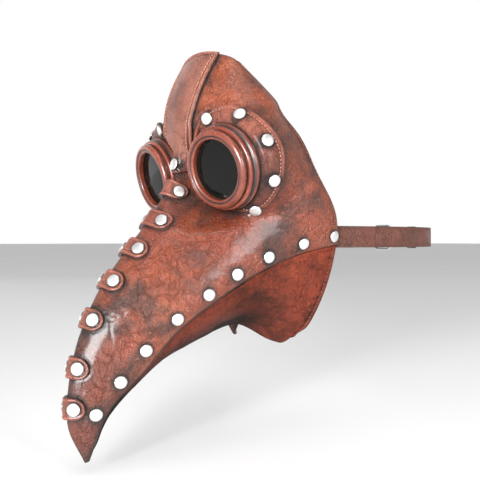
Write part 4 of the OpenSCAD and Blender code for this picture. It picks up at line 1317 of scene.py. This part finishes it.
def band_profile(width, thick, r=0.8, sunk=0.18):
    """Cross-section of a strap as (out, up): rounded edges and two sunk stitch lines on the outer face."""
    z = np.linspace(-width / 2 + r, width / 2 - r, 33)
    line = bell(np.abs(z), width / 2 - STITCH_IN, 0.5)
    h = thick / 2
    a = np.linspace(0, math.pi, 9)[1:-1]
    outer = [(h - sunk * q, p) for q, p in zip(line, z)]
    edge_top = [(h * math.cos(q), width / 2 - r + r * math.sin(q)) for q in a]
    inner = [(-h, p) for p in z[::-1]]
    edge_low = [(-h * math.cos(q), -width / 2 + r - r * math.sin(q)) for q in a]
    return np.array(outer + edge_top + inner + edge_low)


def sweep_band(path, z, width, thick, outward, tip, seed):
    """Strap along a route seen from above, with a rounded end when tip is its rounding length."""
    run = run_of(path)
    out = beside(path, outward)[:, None]
    prof = band_profile(width, thick)
    scale = np.ones(len(path))
    if tip:
        scale = np.sqrt(np.clip(1 - (np.maximum(tip - (run[-1] - run), 0) / tip) ** 2, 0.01, 1))
    grid = np.zeros((len(path), len(prof), 3))
    grid[..., :2] = path[:, None] + out * prof[None, :, :1]
    grid[..., 2] = z + prof[None, :, 1] * scale[:, None]
    relief, lines = leather_relief(grid, seed)
    grid[..., :2] += out * (0.12 * np.clip(relief, -1, 1))[..., None] * (prof[None, :, :1] > 0)
    up = np.abs(prof[:, 1])
    stitched = bell(up, width / 2 - STITCH_IN, 0.5) * (prof[:, 0] > 0)
    dirt_and_shade = np.clip(0.8 * fade(width / 2 - up, 0.7) + 0.5 * stitched, 0, 1)[None, :] + 0.5 * lines
    return capped_tube(grid, {"dirt_and_shade": dirt_and_shade})


def cut(piece, solid):
    """Cuts the solid's shape out of a piece and leaves no helper object behind."""
    mesh = bpy.data.meshes.new("cutter")
    mesh.from_pydata((solid.verts * MM).tolist(), [], solid.polys)
    helper = bpy.data.objects.new("cutter", mesh)
    bpy.context.scene.collection.objects.link(helper)
    mod = piece.modifiers.new("cut", "BOOLEAN")
    mod.operation = "DIFFERENCE"
    mod.solver = "EXACT"
    mod.object = helper
    depsgraph = bpy.context.evaluated_depsgraph_get()
    result = bpy.data.meshes.new_from_object(piece.evaluated_get(depsgraph),
                                             preserve_all_data_layers=True, depsgraph=depsgraph)
    piece.modifiers.remove(mod)
    piece.data = result
    bpy.data.objects.remove(helper)


def route_points(route, per=14):
    """The smooth curve through a route, per points for each of its steps."""
    return curve(route, np.arange((len(route) - 1) * per + 1) / per)


def strap_stitches(path, outward, skip=46.0):
    """Two rows of stitches on a strap's outer face, that far short of both ends."""
    out = beside(path, outward)
    run = run_of(path)
    pick = (run > skip) & (run < run[-1] - skip)
    n = np.concatenate([out, np.zeros((len(path), 1))], 1)
    solids = []
    for z in (-STRAP_W / 2 + STITCH_IN, STRAP_W / 2 - STITCH_IN):
        p = np.concatenate([path + out * (STRAP_T / 2 - 0.1), np.full((len(path), 1), STRAP_Z + z)], 1)
        solids.append(stitch_row(p[pick], n[pick], 4.2, 0.4, 0.12))
    return joined(solids)


def add_left_strap():
    route = route_points(LEFT_ROUTE)
    keep = route[:, 0] > 30.5
    keep[:40] = True
    start = route[keep]
    mid = STRAP_T / 2
    wrap_r = BAR_R + BAR_GAP + mid
    a = np.radians(np.linspace(90, 270, 22))
    loop = np.stack([BAR_X + wrap_r * np.cos(a), BACK_Y + wrap_r * np.sin(a)], -1)
    lead = np.array([(30, LAYER_Y), (26, LAYER_Y), (22, LAYER_Y), (19, LAYER_Y + 0.15), (16, LAYER_Y + 0.75),
                     (13.5, LAYER_Y + 1.4), (11.5, BACK_Y + wrap_r - 0.1)])
    under = BACK_Y - mid
    tail = np.array([(11.5, BACK_Y - wrap_r + 0.1), (13.5, under - 1.4), (16, under - 0.75),
                     (19, under - 0.15), (22, under), (26, under), (FOLD_X - 0.2, under)])
    path = route_points(np.concatenate([start, lead, loop, tail]), 2)
    solid = sweep_band(path, STRAP_Z, STRAP_W, STRAP_T, 1.0, 0.0, 600)
    piece = add_piece("left_strap_leather", solid, [STRAP], ["left_strap"])
    loop_out = BAR_R + BAR_GAP + STRAP_T
    half = PRONG_W / 2 + 0.5
    x0, x1 = BAR_X - loop_out - 2, BAR_X + 3
    ring = np.array([(x0, -half), (x1 - 1.5, -half), (x1 - 0.4, -half + 1), (x1, 0), (x1 - 0.4, half - 1),
                     (x1 - 1.5, half), (x0, half)])
    grid = np.stack([np.stack([ring[:, 0], np.full(len(ring), y), ring[:, 1] + STRAP_Z], -1)
                     for y in (BACK_Y - 9, BACK_Y + 9)])
    cut(piece, capped_tube(grid))
    sewn = route[(route[:, 0] > 44) | (route[:, 1] < 100)]
    add_piece("left_strap_stitches", strap_stitches(sewn, 1.0), [DARK_THREAD])


def add_right_strap():
    right = route_points(RIGHT_ROUTE, 16)
    extra = np.array([(46 - q, TAIL_Y) for q in (3, 2, 1.2, 0.6, 0.25, 0.08, 0)])
    right = np.concatenate([right[right[:, 0] < 42.5], extra])
    solid = sweep_band(right, STRAP_Z, STRAP_W, STRAP_T, -1.0, 10.0, 640)
    piece = add_piece("right_strap_leather", solid, [STRAP], ["right_strap"])
    punch = rounded([(0, -5), (HOLE_R, -5), (HOLE_R, 5), (0, 5)], 0.01, 1)
    centres = [np.array([FIRST_HOLE_X - i * HOLE_STEP, TAIL_Y, STRAP_Z]) for i in range(HOLES)]
    cut(piece, joined([lathe(punch, centre, [0, 1, 0], 32) for centre in centres]))
    sewn = right[right[:, 0] < 28]
    add_piece("right_strap_stitches", strap_stitches(sewn, -1.0), [DARK_THREAD])


def tube(path, normal, r, closed=False):
    """Round bar along a flat path; normal is at right angles to the path's plane."""
    if closed:
        way = unit(np.roll(path, -1, 0) - np.roll(path, 1, 0))
    else:
        way = unit(np.gradient(path, axis=0))
    side = np.cross(way, normal)
    radius = np.broadcast_to(np.asarray(r, float), (len(path),))
    a = np.arange(20) * 2 * math.pi / 20
    grid = path[:, None] + (side[:, None] * np.cos(a)[None, :, None]
                            + np.asarray(normal, float) * np.sin(a)[None, :, None]) * radius[:, None, None]
    return torus_grid(grid) if closed else capped_tube(grid)


def filled(loop, step):
    """A closed loop with points added along its sides, about a step apart."""
    out = []
    for a, b in zip(loop, np.roll(loop, -1, 0)):
        count = max(1, int(length(b - a) / step))
        out += [a + (b - a) * k / count for k in range(count)]
    return np.array(out)


def rounded_loop(x0, x1, z0, z1, r, n=8):
    """Outline of a rectangle with its corners rounded."""
    out = []
    corners = ((x1 - r, z1 - r, 0), (x0 + r, z1 - r, 90), (x0 + r, z0 + r, 180), (x1 - r, z0 + r, 270))
    for cx, cz, a0 in corners:
        out += arc(cx, cz, r, a0, a0 + 90, n)
    out = np.array(out)
    return np.array([p for i, p in enumerate(out) if length(p - out[i - 1]) > 1e-6])


def add_keeper():
    low = BACK_Y - KEEPER_GAP
    high = BACK_Y + 2 * STRAP_T + KEEPER_GAP
    tall = STRAP_W + 2 * KEEPER_GAP
    loop = rounded_loop(low - KEEPER_T / 2, high + KEEPER_T / 2, STRAP_Z - tall / 2 - KEEPER_T / 2,
                        STRAP_Z + tall / 2 + KEEPER_T / 2, 1.2, 7)
    loop = filled(loop, 1.2)
    way = unit(np.roll(loop, -1, 0) - np.roll(loop, 1, 0))
    out = np.stack([way[:, 1], -way[:, 0]], -1)
    h, w = KEEPER_T / 2, KEEPER_W / 2
    prof = rounded([(-h, -w), (h, -w), (h, w), (-h, w)], 0.5, 4)
    grid = np.zeros((len(loop), len(prof), 3))
    grid[..., 0] = KEEPER_X + prof[None, :, 1]
    grid[..., 1:] = loop[:, None] + out[:, None] * prof[None, :, :1]
    rim = fade(w - np.abs(prof[:, 1]), 0.6)
    solid = torus_grid(grid, {"dirt_and_shade": np.broadcast_to(0.7 * rim, grid.shape[:2])})
    add_piece("strap_keeper_loop", solid, [STRAP], ["strap_keeper"], "keeper")


def add_buckle():
    loop = rounded_loop(BAR_X - FRAME_L, BAR_X, STRAP_Z - ARM_Z, STRAP_Z + ARM_Z, 2.6, 10)
    path = np.stack([loop[:, 0], np.full(len(loop), BACK_Y), loop[:, 1]], -1)
    bar = tube(filled(path, 1.5), [0, 1, 0], BAR_R, closed=True)
    add_piece("buckle_ring", bar, [CHROME], ["buckle_frame"], "buckle")
    inner = BAR_R + 0.2
    outer = BAR_R + BAR_GAP + 1.4
    half = PRONG_W / 2
    eye = rounded([(inner, -half), (outer, -half), (outer, half), (inner, half)], 0.5, 4)
    eyelet = lathe(eye, np.array([BAR_X, BACK_Y, STRAP_Z]), [0, 0, 1], 48)
    rest = BAR_R + BAR_GAP + PRONG_R
    rise = math.atan2(rest - 1, FRAME_L)
    u = np.linspace(0, 1, 40)
    x = BAR_X - (FRAME_L + 3) * u * math.cos(rise)
    y = BACK_Y + 1 + (FRAME_L + 3) * u * math.sin(rise)
    r = PRONG_R * np.where(u > 0.94, np.sqrt(np.clip(1 - ((u - 0.94) / 0.06) ** 2, 0.02, 1)), 1)
    keep = u > 2.0 / (FRAME_L + 3)
    pin = tube(np.stack([x, y, np.full(len(u), STRAP_Z)], -1)[keep], [0, 0, 1], r[keep])
    add_piece("buckle_pin", joined([eyelet, pin]), [CHROME], ["buckle_prong"], "prong")


def add_strap_rivet():
    spot = (np.array([STRAP_RIVET_X, BACK_Y + STRAP_T + 0.05 + SINK, STRAP_Z]), np.array([0.0, 1.0, 0.0]))
    head = rivet(spot, 2 * STRAP_T + 0.1)
    flat = (spot[0] - [0, SINK, 0], spot[1])
    add_piece("strap_rivet_head", joined([head, rivet_back(flat, 2 * STRAP_T + 0.1)]), [STEEL],
              ["strap_rivet"])


add_left_strap()
add_right_strap()
add_keeper()
add_buckle()
add_strap_rivet()


# ---------------------------------------------------------------- floor, light and camera, in metres
FLOOR_Z = -0.246
FLOOR_SIZE = 30.0


def add_floor():
    n = 24
    x = np.linspace(-FLOOR_SIZE, FLOOR_SIZE, n)
    grid = np.stack(np.meshgrid(x, x, indexing="ij") + [np.full((n, n), FLOOR_Z)], -1)
    idx = np.arange(n * n).reshape(n, n)
    mesh = bpy.data.meshes.new("floor")
    mesh.from_pydata(grid.reshape(-1, 3).tolist(), [], quads_of(idx.T).tolist())
    mesh.materials.append(floor_paint("floor_paint"))
    floor = bpy.data.objects.new("floor", mesh)
    bpy.context.scene.collection.objects.link(floor)


def look_at(obj, place, target):
    obj.location = Vector(place)
    obj.rotation_euler = (Vector(target) - Vector(place)).to_track_quat("-Z", "Y").to_euler()


def add_light(name, place, target, size, power):
    lamp = bpy.data.lights.new(name, "AREA")
    lamp.shape = "SQUARE"
    lamp.size = size
    lamp.energy = power
    obj = bpy.data.objects.new(name, lamp)
    bpy.context.scene.collection.objects.link(obj)
    look_at(obj, place, target)


add_floor()
AIM = (0.0, -0.06, -0.06)
AZIMUTH = math.radians(51.3)
add_light("key", (1.26, -2.18, 0.16), (0.0, -0.18, -0.12), 0.95, 138)
add_light("cheek", (2.34, -0.02, 0.31), (0.06, -0.07, -0.06), 0.69, 29)
add_light("top", (0.4, -0.5, 1.3), AIM, 0.8, 5)
add_light("back", (-2.4, -0.9, 0.1), (-0.05, -0.1, 0.0), 1.8, 8)

# The surroundings are white behind the object and dimmer on the camera's side.
world = bpy.data.worlds.new("studio")
world.use_nodes = True
nodes, links = world.node_tree.nodes, world.node_tree.links
background = nodes["Background"]
background.inputs["Color"].default_value = (1.0, 1.0, 1.0, 1)
toward = nodes.new("ShaderNodeVectorMath")
toward.operation = "DOT_PRODUCT"
toward.inputs[1].default_value = (-math.sin(AZIMUTH), math.cos(AZIMUTH), 0.0)
links.new(nodes.new("ShaderNodeTexCoord").outputs["Generated"], toward.inputs[0])
glow = nodes.new("ShaderNodeMapRange")
for name, value in (("From Min", 0.1), ("From Max", 0.75), ("To Min", 0.3), ("To Max", 1.0)):
    glow.inputs[name].default_value = value
links.new(toward.outputs["Value"], glow.inputs["Value"])
links.new(glow.outputs["Result"], background.inputs["Strength"])
bpy.context.scene.world = world
bpy.context.scene.view_settings.view_transform = "Standard"

DISTANCE = 0.6
camera_data = bpy.data.cameras.new("camera")
camera_data.lens = 47.7
camera_data.sensor_width = 36.0
camera_data.clip_start = 0.01
camera_data.clip_end = 50.0
camera = bpy.data.objects.new("camera", camera_data)
bpy.context.scene.collection.objects.link(camera)
look_at(camera, (DISTANCE * math.sin(AZIMUTH), AIM[1] - DISTANCE * math.cos(AZIMUTH), AIM[2]), AIM)
bpy.context.scene.camera = camera
